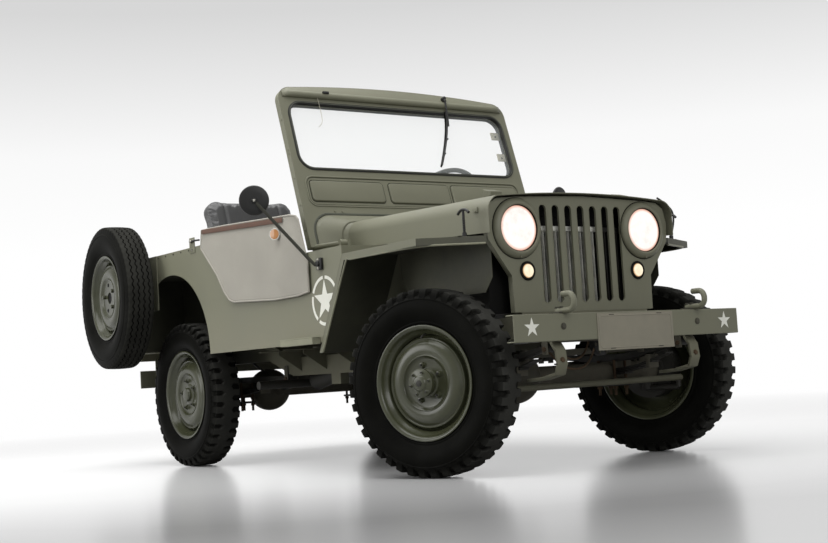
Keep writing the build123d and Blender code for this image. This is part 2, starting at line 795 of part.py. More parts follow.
lever_foot_z = tunnel_top + seat_gap
gear_knob = (150, 0, 1112)
pedal_z = 730.0
# columns: base x, y, knob x, knob z, bar radius
lever_table = [(260, 0, 150, 1110, 7), (180, 60, 110, 960, 6), (180, 95, 110, 960, 6)]
with BuildPart() as cab_controls:
    for base_x, y, knob_x, knob_z, bar in lever_table:
        add(slab((base_x - 16, y - 14, lever_foot_z), (base_x + 16, y + 14, lever_foot_z + 14)))
        add(round_bar((base_x, y, lever_foot_z + 8), (knob_x, y, knob_z), bar))
    with Locations(gear_knob):
        Sphere(20)
    for y in (340, 490):
        toe_x = leg_x(pedal_z) - 1 - sheet - 6
        add(slab((520, y - 30, pedal_z - 30), (530, y + 30, pedal_z + 30)))
        add(round_bar((525, y, pedal_z), (toe_x, y, pedal_z), 8))
keep(cab_controls, "cab_controls")

# ================================================================ engine and drive line
engine_rear_x = 620.0
engine_front_x = 1180.0
engine_half = 175.0
with BuildPart() as engine:
    add(slab((engine_rear_x, -engine_half, 500), (engine_front_x, engine_half, 985)))
keep(engine, "engine")

shaft_radius = 25.0
nose_length = 140.0
output_length = 45.0
# columns: output of the transfer case, middle of the axle's differential
drive_lines = [
    (Vector(-60, -110, 470), Vector(rear_axle_x, diff_y, tyre_radius)),
    (Vector(200, -110, 440), Vector(front_axle_x, diff_y, tyre_radius)),
]
with BuildPart() as gearbox:
    add(slab((190, -130, 480), (engine_rear_x - seat_gap, 130, 700)))
    add(slab((-60, -150, case_low), (200, 150, 650)))
    for output, differential in drive_lines:
        along = (differential - output).normalized()
        add(round_bar(output - along * 20, output + along * output_length, 38))
keep(gearbox, "gearbox")
with BuildPart() as prop_shafts:
    for output, differential in drive_lines:
        along = (differential - output).normalized()
        start = output + along * (output_length + seat_gap)
        end = differential - along * (nose_length + seat_gap)
        add(round_bar(start, end, shaft_radius))
keep(prop_shafts, "prop_shafts")
with BuildPart() as exhaust:
    pipe = [
        (760, -engine_half - seat_gap, 640), (760, -255, 640), (640, -255, 440), (-60, -255, 440),
        (-335, -255, 385), (-335, -560, 385),
    ]
    add(bent_bar(pipe, 30, 20))
    add(round_bar((-300, -255, 392), (-80, -255, 436), 45))
keep(exhaust, "exhaust")

# ================================================================ axles
spring_seat_z = tyre_radius + 40
shock_radius = 24.0
shock_y = rail_y + rail_width / 2 + shock_radius + seat_gap
backing_in = 51.0
backing_out = 47.0


def axle_body(x, along, reach):
    """Axle tube with its differential, spring seats and shock brackets."""
    middle = Vector(x, diff_y, tyre_radius)
    with BuildPart() as body:
        add(round_bar((x, -reach, tyre_radius), (x, reach, tyre_radius), axle_tube_radius))
        with Locations(middle):
            Sphere(diff_radius)
        add(round_bar(middle, middle - along * nose_length, 45))
        for side in (1, -1):
            inner_y = side * (rail_y - 24)
            low_y = min(inner_y, side * (shock_y + shock_radius))
            high_y = max(inner_y, side * (shock_y + shock_radius))
            add(slab((x - 45, low_y, tyre_radius), (x + 45, high_y, spring_seat_z)))
            add(slab((x - 145, low_y, spring_seat_z - 14), (x + 45, high_y, spring_seat_z)))
    return body.part


rear_output, rear_differential = drive_lines[0]
front_output, front_differential = drive_lines[1]
with BuildPart() as front_axle:
    along = (front_differential - front_output).normalized()
    add(axle_body(front_axle_x, along, kingpin_y))
    for side in (1, -1):
        with Locations((front_axle_x, side * kingpin_y, tyre_radius)):
            Sphere(ball_radius)
keep(front_axle, "front_axle")

with BuildPart() as rear_axle:
    along = (rear_differential - rear_output).normalized()
    backing_y = track / 2 - backing_in
    add(axle_body(rear_axle_x, along, backing_y))
    for side in (1, -1):
        backing = (rear_axle_x, side * backing_y, tyre_radius)
        backing_face = (rear_axle_x, side * (track / 2 - backing_out), tyre_radius)
        add(round_bar(backing, backing_face, drum_radius - 4))
        add(round_bar(backing, (rear_axle_x, side * (track / 2 + 56), tyre_radius), spindle_radius))
keep(rear_axle, "rear_axle")

with BuildPart() as leaf_springs:
    pad_z = spring_seat_z
    for x, ahead, behind in spring_table:
        for side in (1, -1):
            leaves = [
                behind, (x - 110, pad_z), (x + 110, pad_z), ahead, (ahead[0], ahead[1] + 14),
                (x + 110, pad_z + spring_depth), (x - 110, pad_z + spring_depth),
                (behind[0], behind[1] + 14),
            ]
            add(side_plate(leaves, side * rail_y - spring_width / 2, spring_width))
            for eye in (ahead, behind):
                low = (eye[0], side * rail_y - spring_width / 2, eye[1] + 6)
                high = (eye[0], side * rail_y + spring_width / 2, eye[1] + 6)
                add(round_bar(low, high, spring_eye_radius))
keep(leaf_springs, "leaf_springs")

with BuildPart() as shock_absorbers:
    for side in (1, -1):
        for x in (front_axle_x - 115, rear_axle_x - 115):
            foot = (x, side * shock_y, spring_seat_z + seat_gap)
            add(round_bar(foot, (x, side * shock_y, 560), shock_radius))
keep(shock_absorbers, "shock_absorbers")

# ================================================================ knuckles and tie rod
arm_pins = {}
pin_height = 26.0
cup_inner = ball_radius + 2.5
cup_arc = [(cup_inner * sin(radians(turn)), cup_inner * cos(radians(turn))) for turn in range(0, 91, 10)]
knuckle_section = [(-6, cup_inner)] + cup_arc[:-1] + [
    (cup_inner, 0), (kingpin_inset + 56, 0), (kingpin_inset + 56, spindle_radius), (cup_end, spindle_radius),
    (cup_end, cup_radius), (kingpin_inset - backing_out, cup_radius),
    (kingpin_inset - backing_out, drum_radius - 4), (kingpin_inset - backing_in, drum_radius - 4),
    (kingpin_inset - backing_in, cup_radius), (-6, cup_radius),
]
for side, node in ((1, "knuckle_left"), (-1, "knuckle_right")):
    centre = Vector(front_axle_x, side * kingpin_y, tyre_radius)
    out = Vector(*flat_steer(side))
    turn = radians(rest_steer)
    pin = centre + Vector(steer_arm * cos(turn), steer_arm * sin(turn), -steer_arm_drop)
    with BuildPart() as knuckle:
        add(turned(knuckle_section, centre, out))
        for way in (1, -1):
            pin_root = centre + Vector(0, 0, way * (ball_radius + seat_gap))
            add(round_bar(pin_root, centre + Vector(0, 0, way * 90), 24))
        arm_root = centre + Vector(0, 0, -steer_arm_drop)
        add(round_bar(arm_root, pin, 12))
        add(round_bar(pin, pin + Vector(0, 0, pin_height), 11))
    arm_pins[side] = pin
    keep(knuckle, node)

with BuildPart() as tie_rod:
    rod_rise = Vector(0, 0, pin_height + tie_rod_radius + running_gap)
    overhang = Vector(0, 16, 0)
    add(round_bar(arm_pins[-1] + rod_rise - overhang, arm_pins[1] + rod_rise + overhang, tie_rod_radius))
keep(tie_rod, "tie_rod")

# ================================================================ wheels
half_rim = rim_width / 2
bulge = tyre_width / 2
tyre_section = [
    (-half_rim + 4, bead_radius), (-half_rim + 1, flange_radius + 3), (-bulge + 6, 245), (-bulge, 285),
    (-bulge + 6, 322), (-bulge + 14, 346), (-bulge + 18, tyre_radius - 4), (-30, tyre_radius),
    (30, tyre_radius), (bulge - 18, tyre_radius - 4), (bulge - 14, 346), (bulge - 6, 322),
    (bulge, 285), (bulge - 6, 245), (half_rim - 1, flange_radius + 3), (half_rim - 4, bead_radius),
]
barrel_section = [
    (-half_rim - rim_sheet, flange_radius), (-half_rim - rim_sheet, bead_radius - rim_sheet),
    (half_rim + rim_sheet, bead_radius - rim_sheet), (half_rim + rim_sheet, flange_radius),
    (half_rim, flange_radius), (half_rim, bead_radius - 0.5), (-half_rim, bead_radius - 0.5),
    (-half_rim, flange_radius),
]


def hub_section(hub_end):
    """Disc, hub and brake drum as one turned shape; hub_end is how far the hub stands outboard."""
    bore = spindle_radius + running_gap
    return [
        (16, bore), (58, bore), (58, 0), (hub_end, 0), (hub_end, 34), (hub_end - 24, 38),
        (hub_end - 28, 50), (38, 54), (38, 96), (48, 118), (42, 160), (24, bead_radius - rim_sheet + 1),
        (18, bead_radius - rim_sheet + 1), (36, 158), (42, 118), (32, 98), (22, drum_radius),
        (-44, drum_radius), (-44, drum_radius - 8), (16, drum_radius - 8),
    ]


def wheel(centre, outward, hub_end):
    """Rim, disc, hub and drum of one road wheel."""
    with BuildPart() as body:
        add(turned(barrel_section, centre, outward))
        add(turned(hub_section(hub_end), centre, outward))
    return body.part


road_wheels = []
for side, name in ((1, "left"), (-1, "right")):
    out = flat_steer(side)
    middle = Vector(front_axle_x, side * kingpin_y, tyre_radius) + Vector(*out) * kingpin_inset
    road_wheels.append((f"front_{name}", tuple(middle), out, 92))
    road_wheels.append((f"rear_{name}", (rear_axle_x, side * track / 2, tyre_radius), (0, side, 0), 62))
for place, centre, out, hub_end in road_wheels:
    with BuildPart() as rim:
        add(wheel(centre, out, hub_end))
    keep(rim, f"rim_{place}")
    with BuildPart() as tyre:
        add(turned(tyre_section, centre, out))
    keep(tyre, f"tyre_{place}")

# ================================================================ spare wheel
spare_radius = 373.0
spare_standoff = 118.0
spare_hole = 30.0
spare_centre = (-1325.0, -tub_half - spare_standoff, 887.0)
spare_out = (-0.055, -1.0, 0.0)
spare_axis = tuple(Vector(*spare_out).normalized())
growth = (spare_radius - bead_radius) / (tyre_radius - bead_radius)
spare_tyre_section = [(x, bead_radius + (r - bead_radius) * growth) for x, r in tyre_section]
with BuildPart() as spare_tyre:
    add(turned(spare_tyre_section, spare_centre, spare_axis))
keep(spare_tyre, "spare_tyre")
spare_disc = [
    (38, spare_hole), (38, 96), (48, 118), (42, 160), (24, bead_radius - rim_sheet + 1),
    (18, bead_radius - rim_sheet + 1), (36, 158), (42, 118), (32, 98), (32, spare_hole),
]
with BuildPart() as spare_rim:
    add(turned(barrel_section, spare_centre, spare_axis))
    add(turned(spare_disc, spare_centre, spare_axis))
keep(spare_rim, "spare_rim")

bracket_thick = 6.0
bracket_rear_x = -1400.0
bracket_front_x = -1055.0
bracket_low = 800.0
with BuildPart() as spare_bracket:
    bracket_face = -tub_half - bracket_thick
    add(slab((bracket_rear_x, bracket_face, bracket_low), (bracket_front_x, -tub_half, rail_top_z)))
    disc_face = Vector(*spare_centre) + Vector(*spare_axis) * (32 - seat_gap)
    carrier_root = Vector(*spare_centre) + Vector(*spare_axis) * (bracket_thick - spare_standoff)
    add(round_bar(carrier_root, disc_face, 70))
keep(spare_bracket, "spare_bracket")

# ================================================================ mirrors
# columns: route of the arm, head centre, way that the back of the head faces
mirror_table = [
    (
        [(566, -tub_half - 8, 875), (556, -tub_half - 26, 872), (395, -tub_half - 206, 1160)],
        (0.87, -0.47, -0.13),
    ),
    (
        [(566, tub_half + 8, 875), (520, tub_half + 38, 1120), (250, tub_half + 176, 1232)],
        (0.95, 0.25, -0.1),
    ),
]
mirror_radius = 63.5
with BuildPart() as mirrors:
    for route, facing in mirror_table:
        add(bent_bar(route, 14, 6.5))
        side = 1 if route[0][1] > 0 else -1
        low = min(side * tub_half, side * (tub_half + 16))
        add(slab((548, low, 850), (584, low + 16, 900)))
        back = Vector(*facing).normalized()
        add(round_bar(Vector(*route[2]) - back * 12, Vector(*route[2]) + back * 4, mirror_radius))
keep(mirrors, "mirrors")
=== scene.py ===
"""Looks of a small open army car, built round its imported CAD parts.

Metres. +X is ahead, +Y is to the driver's left, +Z is up and the ground is z = 0.
"""
from math import atan2, cos, hypot, pi, radians, sin, sqrt

import bmesh
import bpy
from mathutils import Matrix, Vector, noise


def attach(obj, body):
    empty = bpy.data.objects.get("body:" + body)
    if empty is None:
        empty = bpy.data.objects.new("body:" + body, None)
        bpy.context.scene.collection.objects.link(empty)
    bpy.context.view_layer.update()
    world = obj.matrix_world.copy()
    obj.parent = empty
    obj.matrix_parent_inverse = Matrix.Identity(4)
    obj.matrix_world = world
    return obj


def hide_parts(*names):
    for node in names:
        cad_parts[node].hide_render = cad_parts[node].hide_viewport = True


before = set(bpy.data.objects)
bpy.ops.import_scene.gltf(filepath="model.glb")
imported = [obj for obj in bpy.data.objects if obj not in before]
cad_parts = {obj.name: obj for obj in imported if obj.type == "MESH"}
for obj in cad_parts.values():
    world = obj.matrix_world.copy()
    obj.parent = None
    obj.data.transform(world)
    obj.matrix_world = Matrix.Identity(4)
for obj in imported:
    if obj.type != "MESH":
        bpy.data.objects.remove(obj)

bl_info = {
    "name": "Open army car looks",
    "version": (1, 0, 0),
    "blender": (4, 5, 0),
    "location": "3D View > Sidebar > Army car",
    "description": "Panels, tyres, lamps, canvas and seats of a small open army car",
    "category": "Object",
}

RIGHT, LEFT = -1, 1
SIDES = ((RIGHT, "right"), (LEFT, "left"))
UP = Vector((0, 0, 1))

AXLE_X = {"front": 1.125, "rear": -0.907}
KINGPIN_Y, KINGPIN_INSET, HALF_TRACK, HUB_Z = 0.5455, 0.066, 0.6115, 0.36
REST_STEER = radians(19.3)
SPARE_CENTRE = Vector((-1.325, -0.842, 0.887))
SPARE_AXIS = Vector((-0.055, -1.0, 0.0)).normalized()
SCREEN_RAKE = radians(17.16)
SCREEN_PLACE = Matrix(
    (
        (0, -sin(SCREEN_RAKE), cos(SCREEN_RAKE), 0.349),
        (1, 0, 0, 0),
        (0, cos(SCREEN_RAKE), sin(SCREEN_RAKE), 0.970),
        (0, 0, 0, 1),
    )
)
SCREEN_FACE = 0.017
HEADER_HALF, HEADER_BEND, HEADER_FALL = 0.626, 0.578, 0.07
TUB_Y = 0.724
GRILLE_X, GRILLE_PITCH, FIN_PITCH = 1.375, 0.0655, 0.0164
HEAD_LAMP_Y, HEAD_LAMP_Z = 0.332, 0.929
MARKER_Y, MARKER_Z = 0.292, 0.765
BUMPER_FACE_X, PLATE_FACE_X = 1.627, 1.630
TYRE_RADIUS, TYRE_BORE, CROWN_DROP = 0.360, 0.204, 0.0022
# slots between the lugs: shares of a lug's pitch, then distances in metres
SLOT_SHARE, WALL_SHARE, END_SHARE, WALL_LEAN = 0.25, 0.31, 0.22, 0.055
SLOT_END, SLOT_CURVE, WALL_FOOT, FADE_DEPTH = 0.0215, 0.010, 0.3205, 0.016
SPARE_RADIUS, SPARE_PITCHES, ZIGZAG = 0.373, 64, 0.0034
SPRING_Y, SPRING_SEAT_Z, LEAF_PITCH = 0.348, 0.372, 0.0068
CANVAS_Y = 0.7345
HUB_BORE = 0.0243
STAR_THICK, STAR_NOTCH = 0.0004, 0.382
PAD_VOXEL, QUICK_VOXEL, PAD_SWELL = 0.006, 0.0125, 0.014
CLOTH_PRESSURE, CLOTH_STIFFNESS, CLOTH_FRAMES = 4, 20, 20
CAMERA_AT = (5.3004, -3.5905, 0.4006)
CAMERA_TURN, CAMERA_RISE, CAMERA_ROLL = radians(144.827), radians(4.345), radians(-3.459)


def on_screen(u, v, w):
    """Point of the windscreen: u to the left, v up along it, w ahead of its middle plane."""
    return SCREEN_PLACE @ Vector((u, v, w))


def leg_x(z):
    """Lengthwise place of the fender's sloping rear leg at height z."""
    return 0.735 - (0.900 - z) * 0.22 / 0.393


def linear(red, green, blue):
    """Linear colour from the everyday scale of 0 to 255."""
    steps = [v / 255 for v in (red, green, blue)]
    return tuple(v / 12.92 if v <= 0.04045 else ((v + 0.055) / 1.055) ** 2.4 for v in steps)


# ---------------------------------------------------------------- user settings
def colour_setting(name, description, default):
    """A colour that the sidebar shows."""
    return bpy.props.FloatVectorProperty(
        name=name, description=description, default=default, size=3, min=0, max=1, subtype="COLOR"
    )


def length_setting(name, description, default):
    """A length that the sidebar shows, in metres."""
    return bpy.props.FloatProperty(
        name=name, description=description, default=default, min=0, unit="LENGTH", subtype="DISTANCE"
    )


class ARMYCAR_PG_finishes(bpy.types.PropertyGroup):
    """Colours of the car's finishes."""

    olive: colour_setting("Olive paint", "Dull paint of the body", linear(109, 109, 92))
    chassis: colour_setting("Chassis paint", "Dark paint of the frame and axles", linear(50, 50, 43))
    rubber: colour_setting("Rubber", "Tyre side walls", linear(16, 16, 14))
    tread: colour_setting("Tread dust", "Dusty running surface of the tyres", linear(56, 56, 53))
    canvas: colour_setting("Canvas", "Door canvas", linear(160, 156, 145))
    vinyl: colour_setting("Seat vinyl", "Padded seat covers", linear(54, 54, 54))
    marking: colour_setting("Marking paint", "Stars on bumper and cowl", linear(226, 226, 216))


class ARMYCAR_PG_sizes(bpy.types.PropertyGroup):
    """Sizes of the pieces that dress the car."""

    lugs: bpy.props.IntProperty(
        name="Lugs", description="Tread lugs on each side of a road tyre", default=40, min=20, max=60
    )
    slot_depth: length_setting("Slot depth", "Depth of the slots between the lugs", 0.015)
    spare_groove: length_setting("Spare groove", "Depth of the spare tyre's zigzag grooves", 0.009)
    star_radius: length_setting("Bumper star", "Radius of the stars on the bumper", 0.037)
    ring_radius: length_setting("Cowl ring", "Outer radius of the ringed star beside the cowl", 0.104)


class ARMYCAR_PG_stage(bpy.types.PropertyGroup):
    """Lamps and camera."""

    lens: bpy.props.FloatProperty(
        name="Lens", description="Focal length of the camera", default=57.97, min=20, unit="CAMERA"
    )
    sky: bpy.props.FloatProperty(
        name="Sky light", description="Strength of the even light from all round", default=0.34, min=0
    )


# ---------------------------------------------------------------- finishes
FINISHES = {}


def nodes_of(name):
    """A fresh material's node tree, its main shader and the place on the piece."""
    material = bpy.data.materials.new(name)
    material.use_nodes = True
    FINISHES[name] = material
    tree = material.node_tree
    return tree, tree.nodes["Principled BSDF"], put(tree, "ShaderNodeTexCoord").outputs["Object"]


def put(tree, kind, settings=(), **inputs):
    """Add a node, with its settings and its input values or links."""
    node = tree.nodes.new(kind)
    for key, value in dict(settings).items():
        setattr(node, key, value)
    for key, value in inputs.items():
        socket = node.inputs[int(key[1:]) if key[0] == "i" and key[1:].isdigit() else key]
        if isinstance(value, bpy.types.NodeSocket):
            tree.links.new(value, socket)
        else:
            socket.default_value = value
    return node


def ramp(tree, factor, stops):
    """Colour ramp over factor; stops are (position, colour) pairs."""
    node = tree.nodes.new("ShaderNodeValToRGB")
    tree.links.new(factor, node.inputs["Fac"])
    band = node.color_ramp
    while len(band.elements) < len(stops):
        band.elements.new(0.5)
    for element, (position, colour) in zip(band.elements, stops):
        element.position = position
        element.color = (*colour, 1)
    return node.outputs["Color"]


def blended(tree, factor, first, second):
    """Mix of two colours."""
    node = tree.nodes.new("ShaderNodeMix")
    node.data_type = "RGBA"
    for socket, value in ((node.inputs[0], factor), (node.inputs[6], first), (node.inputs[7], second)):
        if isinstance(value, bpy.types.NodeSocket):
            tree.links.new(value, socket)
        elif isinstance(value, (int, float)):
            socket.default_value = value
        else:
            socket.default_value = (*value, 1)
    return node.outputs[2]


def clouds(tree, place, scale, detail, **more):
    """Soft noise over a place."""
    return put(tree, "ShaderNodeTexNoise", Vector=place, Scale=scale, Detail=detail, **more).outputs["Fac"]


def rescaled(tree, value, span=(0, 1), result=(0, 1)):
    """A value carried from one span of numbers to another."""
    ends = {"From Min": span[0], "From Max": span[1], "To Min": result[0], "To Max": result[1]}
    return put(tree, "ShaderNodeMapRange", Value=value, **ends).outputs["Result"]


def reckoned(tree, operation, first, second):
    """Two values through one step of arithmetic."""
    return put(tree, "ShaderNodeMath", {"operation": operation}, i0=first, i1=second).outputs[0]


def embossed(tree, shader, height, strength, distance):
    """Give the shader fine relief from a height."""
    bump = put(tree, "ShaderNodeBump", Height=height, Strength=strength, Distance=distance)
    tree.links.new(bump.outputs["Normal"], shader.inputs["Normal"])


def seen_directly(tree):
    """One where the camera looks straight, by reflection or through glass."""
    path = put(tree, "ShaderNodeLightPath").outputs
    straight = reckoned(tree, "MAXIMUM", path["Is Camera Ray"], path["Is Glossy Ray"])
    return reckoned(tree, "MAXIMUM", straight, path["Is Transmission Ray"])


def shaded(colour, by):
    """A colour made lighter or darker."""
    return tuple(min(1, v * by) for v in colour)


def painted(
    name, colour, spread=0.12, blotch=3.0, grain=220.0, rough=(0.42, 0.62), bump=0.05, dust=None, metal=0.0, shine=0.35
):
    """Sprayed metal: soft blotches, fine orange peel, and road dust low down where asked."""
    tree, shader, place = nodes_of(name)
    cloud = clouds(tree, place, blotch, 6.0, Roughness=0.6)
    tone = ramp(tree, cloud, [(0.3, shaded(colour, 1 - spread)), (0.7, shaded(colour, 1 + spread))])
    speck = clouds(tree, place, grain, 3.0)
    if dust:
        dust_colour, low, high = dust
        height = put(tree, "ShaderNodeSeparateXYZ", Vector=place).outputs["Z"]
        near = rescaled(tree, height, (low, high), (0.55, 0.0))
        tone = blended(tree, reckoned(tree, "MULTIPLY", near, cloud), tone, dust_colour)
    tree.links.new(tone, shader.inputs["Base Color"])
    tree.links.new(rescaled(tree, cloud, (0.3, 0.7), rough), shader.inputs["Roughness"])
    embossed(tree, shader, speck, bump, 0.0012)
    shader.inputs["Metallic"].default_value = metal
    shader.inputs["Specular IOR Level"].default_value = 0.5 if metal > 0.5 else shine


def rubbery(name, side, tread):
    """Tyre rubber: dark walls, dusty running surface from the piece's tread attribute."""
    tree, shader, place = nodes_of(name)
    worn = put(tree, "ShaderNodeAttribute", {"attribute_name": "tread"}).outputs["Fac"]
    cloud = clouds(tree, place, 9.0, 5.0)
    wall = ramp(tree, cloud, [(0.3, shaded(side, 0.75)), (0.75, shaded(side, 1.35))])
    top = ramp(tree, cloud, [(0.3, shaded(tread, 0.8)), (0.75, shaded(tread, 1.2))])
    tree.links.new(blended(tree, worn, wall, top), shader.inputs["Base Color"])
    grit = clouds(tree, place, 420.0, 4.0)
    embossed(tree, shader, grit, 0.18, 0.001)
    tree.links.new(rescaled(tree, worn, result=(0.48, 0.85)), shader.inputs["Roughness"])
    shader.inputs["Specular IOR Level"].default_value = 0.16
    shader.inputs["IOR"].default_value = 1.15


def woven(name, colour):
    """Canvas: crossed threads, faint folds of tone and a soft sheen."""
    tree, shader, place = nodes_of(name)
    cloud = clouds(tree, place, 5.0, 6.0)
    tone = ramp(tree, cloud, [(0.3, shaded(colour, 0.9)), (0.7, shaded(colour, 1.1))])
    threads = []
    for way in ("X", "Z"):
        wave = put(tree, "ShaderNodeTexWave", {"bands_direction": way}, Vector=place, Scale=196.25, Distortion=0.6)
        threads.append(wave.outputs["Fac"])
    weave = reckoned(tree, "MAXIMUM", *threads)
    fleck = clouds(tree, place, 700.0, 2.0)
    mixed = blended(tree, fleck, shaded(colour, 0.82), tone)
    tree.links.new(mixed, shader.inputs["Base Color"])
    embossed(tree, shader, weave, 0.3, 0.0006)
    shader.inputs["Roughness"].default_value = 0.88
    shader.inputs["Sheen Weight"].default_value = 0.15


def creased(name, colour):
    """Seat vinyl: pebbled grain with a low gloss."""
    tree, shader, place = nodes_of(name)
    cloud = clouds(tree, place, 7.0, 5.0)
    tone = ramp(tree, cloud, [(0.3, shaded(colour, 0.85)), (0.7, shaded(colour, 1.2))])
    tree.links.new(tone, shader.inputs["Base Color"])
    pebble = put(
        tree, "ShaderNodeTexVoronoi", {"feature": "DISTANCE_TO_EDGE"}, Vector=place, Scale=380.0
    ).outputs["Distance"]
    embossed(tree, shader, pebble, 0.35, 0.0008)
    shader.inputs["Roughness"].default_value = 0.46
    shader.inputs["Coat Weight"].default_value = 0.1


def glazed(name):
    """Thin clear screen glass with faint smears."""
    tree, shader, place = nodes_of(name)
    smear = clouds(tree, place, 6.0, 4.0)
    tint = ramp(tree, smear, [(0.3, (0.80, 0.86, 0.84)), (0.7, (0.88, 0.92, 0.91))])
    tree.links.new(tint, shader.inputs["Base Color"])
    tree.links.new(rescaled(tree, smear, result=(0.02, 0.07)), shader.inputs["Roughness"])
    shader.inputs["Alpha"].default_value = 0.1


def glowing(name, heart, rim, strength, scale):
    """A glowing lens: on the lamps their own light, on the door reflectors painted light; bright heart, warm rim,
    mottled by its flutes. Reads the piece's reach attribute.
    """
    tree, shader, place = nodes_of(name)
    reach = put(tree, "ShaderNodeAttribute", {"attribute_name": "reach"}).outputs["Fac"]
    mottle = clouds(tree, place, scale, 6.0, Roughness=0.65)
    patch = ramp(tree, mottle, [(0.36, shaded(heart, 0.88)), (0.5, heart)])
    glow = blended(tree, rescaled(tree, reach, (0.86, 1.0)), patch, rim)
    tree.links.new(glow, shader.inputs["Emission Color"])
    tree.links.new(blended(tree, 0.92, glow, (0.02, 0.02, 0.02)), shader.inputs["Base Color"])
    shader.inputs["Emission Strength"].default_value = strength
    shader.inputs["Roughness"].default_value = 0.12
    flute = put(tree, "ShaderNodeTexWave", {"bands_direction": "Y"}, Vector=place, Scale=36.0).outputs["Fac"]
    embossed(tree, shader, flute, 0.2, 0.001)


def make_finishes():
    """Every finish of the car, from the colours in the sidebar."""
    chosen = bpy.context.scene.army_car_finishes
    olive, chassis = tuple(chosen.olive), tuple(chosen.chassis)
    road_dust = linear(140, 134, 118)
    painted("olive_paint", olive, spread=0.07)
    # Painted shade: a much darker copy of the olive for faces inside the wheel wells and under the fenders
    painted("well_painted_shade", shaded(olive, 0.26), spread=0.3, blotch=5.0, rough=(0.5, 0.8), bump=0.12, shine=0.15)
    # Painted shade: a dark olive drawn as thin lines in the creases round the windscreen's pressed panels; the tub's
    # bolt heads take it too
    painted("crease_shade_dark_olive", shaded(olive, 0.22), spread=0.2, rough=(0.6, 0.8), shine=0.1)
    # Painted shade: a less dark copy of the olive for the fender aprons' front faces inside the wells
    painted("apron_painted_shade", shaded(olive, 0.42), spread=0.3, blotch=7.0, rough=(0.4, 0.7), bump=0.1, shine=0.25)
    # Painted light: near-white for the radiator fins and top bar on the lit side behind the grille
    painted("fin_painted_light", linear(222, 222, 212), spread=0.3, blotch=14.0, rough=(0.3, 0.5), shine=0.5)
    painted("rusty_iron", linear(74, 60, 46), spread=0.35, blotch=16.0, rough=(0.6, 0.85), bump=0.25, shine=0.15)
    painted("tub_paint", shaded(olive, 1.12), spread=0.06, dust=(road_dust, 0.5, 0.8))
    painted("wheel_paint", linear(61, 63, 46), spread=0.14, rough=(0.18, 0.28), blotch=6.0, shine=0.35)
    painted("chassis_paint", chassis, spread=0.25, rough=(0.5, 0.75), bump=0.12, dust=(road_dust, 0.3, 0.7), shine=0.2)
    painted("rail_paint", linear(100, 99, 84), spread=0.25, rough=(0.5, 0.75), bump=0.12, shine=0.2)
    # Dark oily iron; behind the grille it also serves as painted shade on the radiator fins
    painted("oily_iron_and_shade", linear(40, 39, 35), spread=0.3, blotch=12.0, rough=(0.4, 0.7), bump=0.2, shine=0.3)
    painted("bright_steel", linear(150, 148, 140), spread=0.2, blotch=20.0, rough=(0.25, 0.45), bump=0.08, metal=0.9)
    painted("dull_strip", linear(170, 166, 150), spread=0.25, blotch=9.0, rough=(0.4, 0.6), metal=0.4)
    painted("black_trim", linear(26, 26, 25), spread=0.2, rough=(0.4, 0.55), bump=0.08, shine=0.3)
    painted("lamp_dark", linear(14, 14, 13), spread=0.2, rough=(0.5, 0.7), shine=0.1)
    painted("seal_grey", linear(74, 76, 66), spread=0.2, rough=(0.4, 0.55), shine=0.3)
    painted("step_paint", shaded(olive, 1.55), spread=0.15, blotch=9.0, rough=(0.5, 0.7))
    # Lighter olive for the fenders' rolled beads: partly worn paint, partly a painted highlight along the edge
    painted("edge_wear_and_highlight", shaded(olive, 1.4), spread=0.25, blotch=12.0, rough=(0.4, 0.6))
    painted("marking_paint", tuple(chosen.marking), spread=0.06, blotch=14.0, rough=(0.55, 0.7), bump=0.04)
    painted("plate_paint", linear(128, 124, 110), spread=0.08, blotch=10.0, rough=(0.45, 0.6))
    painted("wood_paint", shaded(olive, 0.8), spread=0.2, blotch=18.0, grain=90.0, rough=(0.6, 0.8), bump=0.3)
    painted("red_glass", (0.36, 0.02, 0.015), spread=0.1, rough=(0.1, 0.2), bump=0.02)
    painted("strap_brown", linear(92, 68, 56), spread=0.2, blotch=30.0, grain=500.0, rough=(0.6, 0.8), bump=0.3)
    painted("mirror_silver", linear(205, 208, 208), spread=0.03, rough=(0.03, 0.06), bump=0.0, metal=1.0)
    painted("grip_black", linear(62, 62, 58), spread=0.15, rough=(0.25, 0.4), bump=0.06)
    rubbery("tyre_rubber", tuple(chosen.rubber), tuple(chosen.tread))
    rubbery("spare_rubber", tuple(chosen.rubber), linear(44, 44, 41))
    woven("door_canvas", tuple(chosen.canvas))
    creased("seat_vinyl", tuple(chosen.vinyl))
    glazed("screen_glass")
    glowing("lamp_glow", (1.0, 0.955, 0.90), (0.75, 0.36, 0.24), 1.0, 22.0)
    glowing("marker_glow", (1.0, 0.86, 0.62), (0.55, 0.28, 0.10), 1.0, 60.0)
    # Painted light: the door reflectors glow on their own, though they are no lamps
    glowing("reflector_painted_glow", (0.95, 0.40, 0.10), (0.45, 0.10, 0.02), 0.35, 90.0)


# ---------------------------------------------------------------- modelling helpers
def basis(at, along):
    """Placing matrix whose X axis looks along a direction, with Z kept as upright as it can be."""
    x = Vector(along).normalized()
    guide = UP if abs(x.z) < 0.95 else Vector((1, 0, 0))
    y = guide.cross(x).normalized()
    place = Matrix((x, y, x.cross(y))).transposed().to_4x4()
    return Matrix.Translation(Vector(at)) @ place


def join(shape, part, finish=0, place=None):
    """Add a finished feature to a piece, in its place, and free it."""
    if place is not None:
        bmesh.ops.transform(part, matrix=place, verts=part.verts)
    for face in part.faces:
        face.material_index = finish
    mesh = bpy.data.meshes.new("feature")
    part.to_mesh(mesh)
    part.free()
    shape.from_mesh(mesh)
    bpy.data.meshes.remove(mesh)


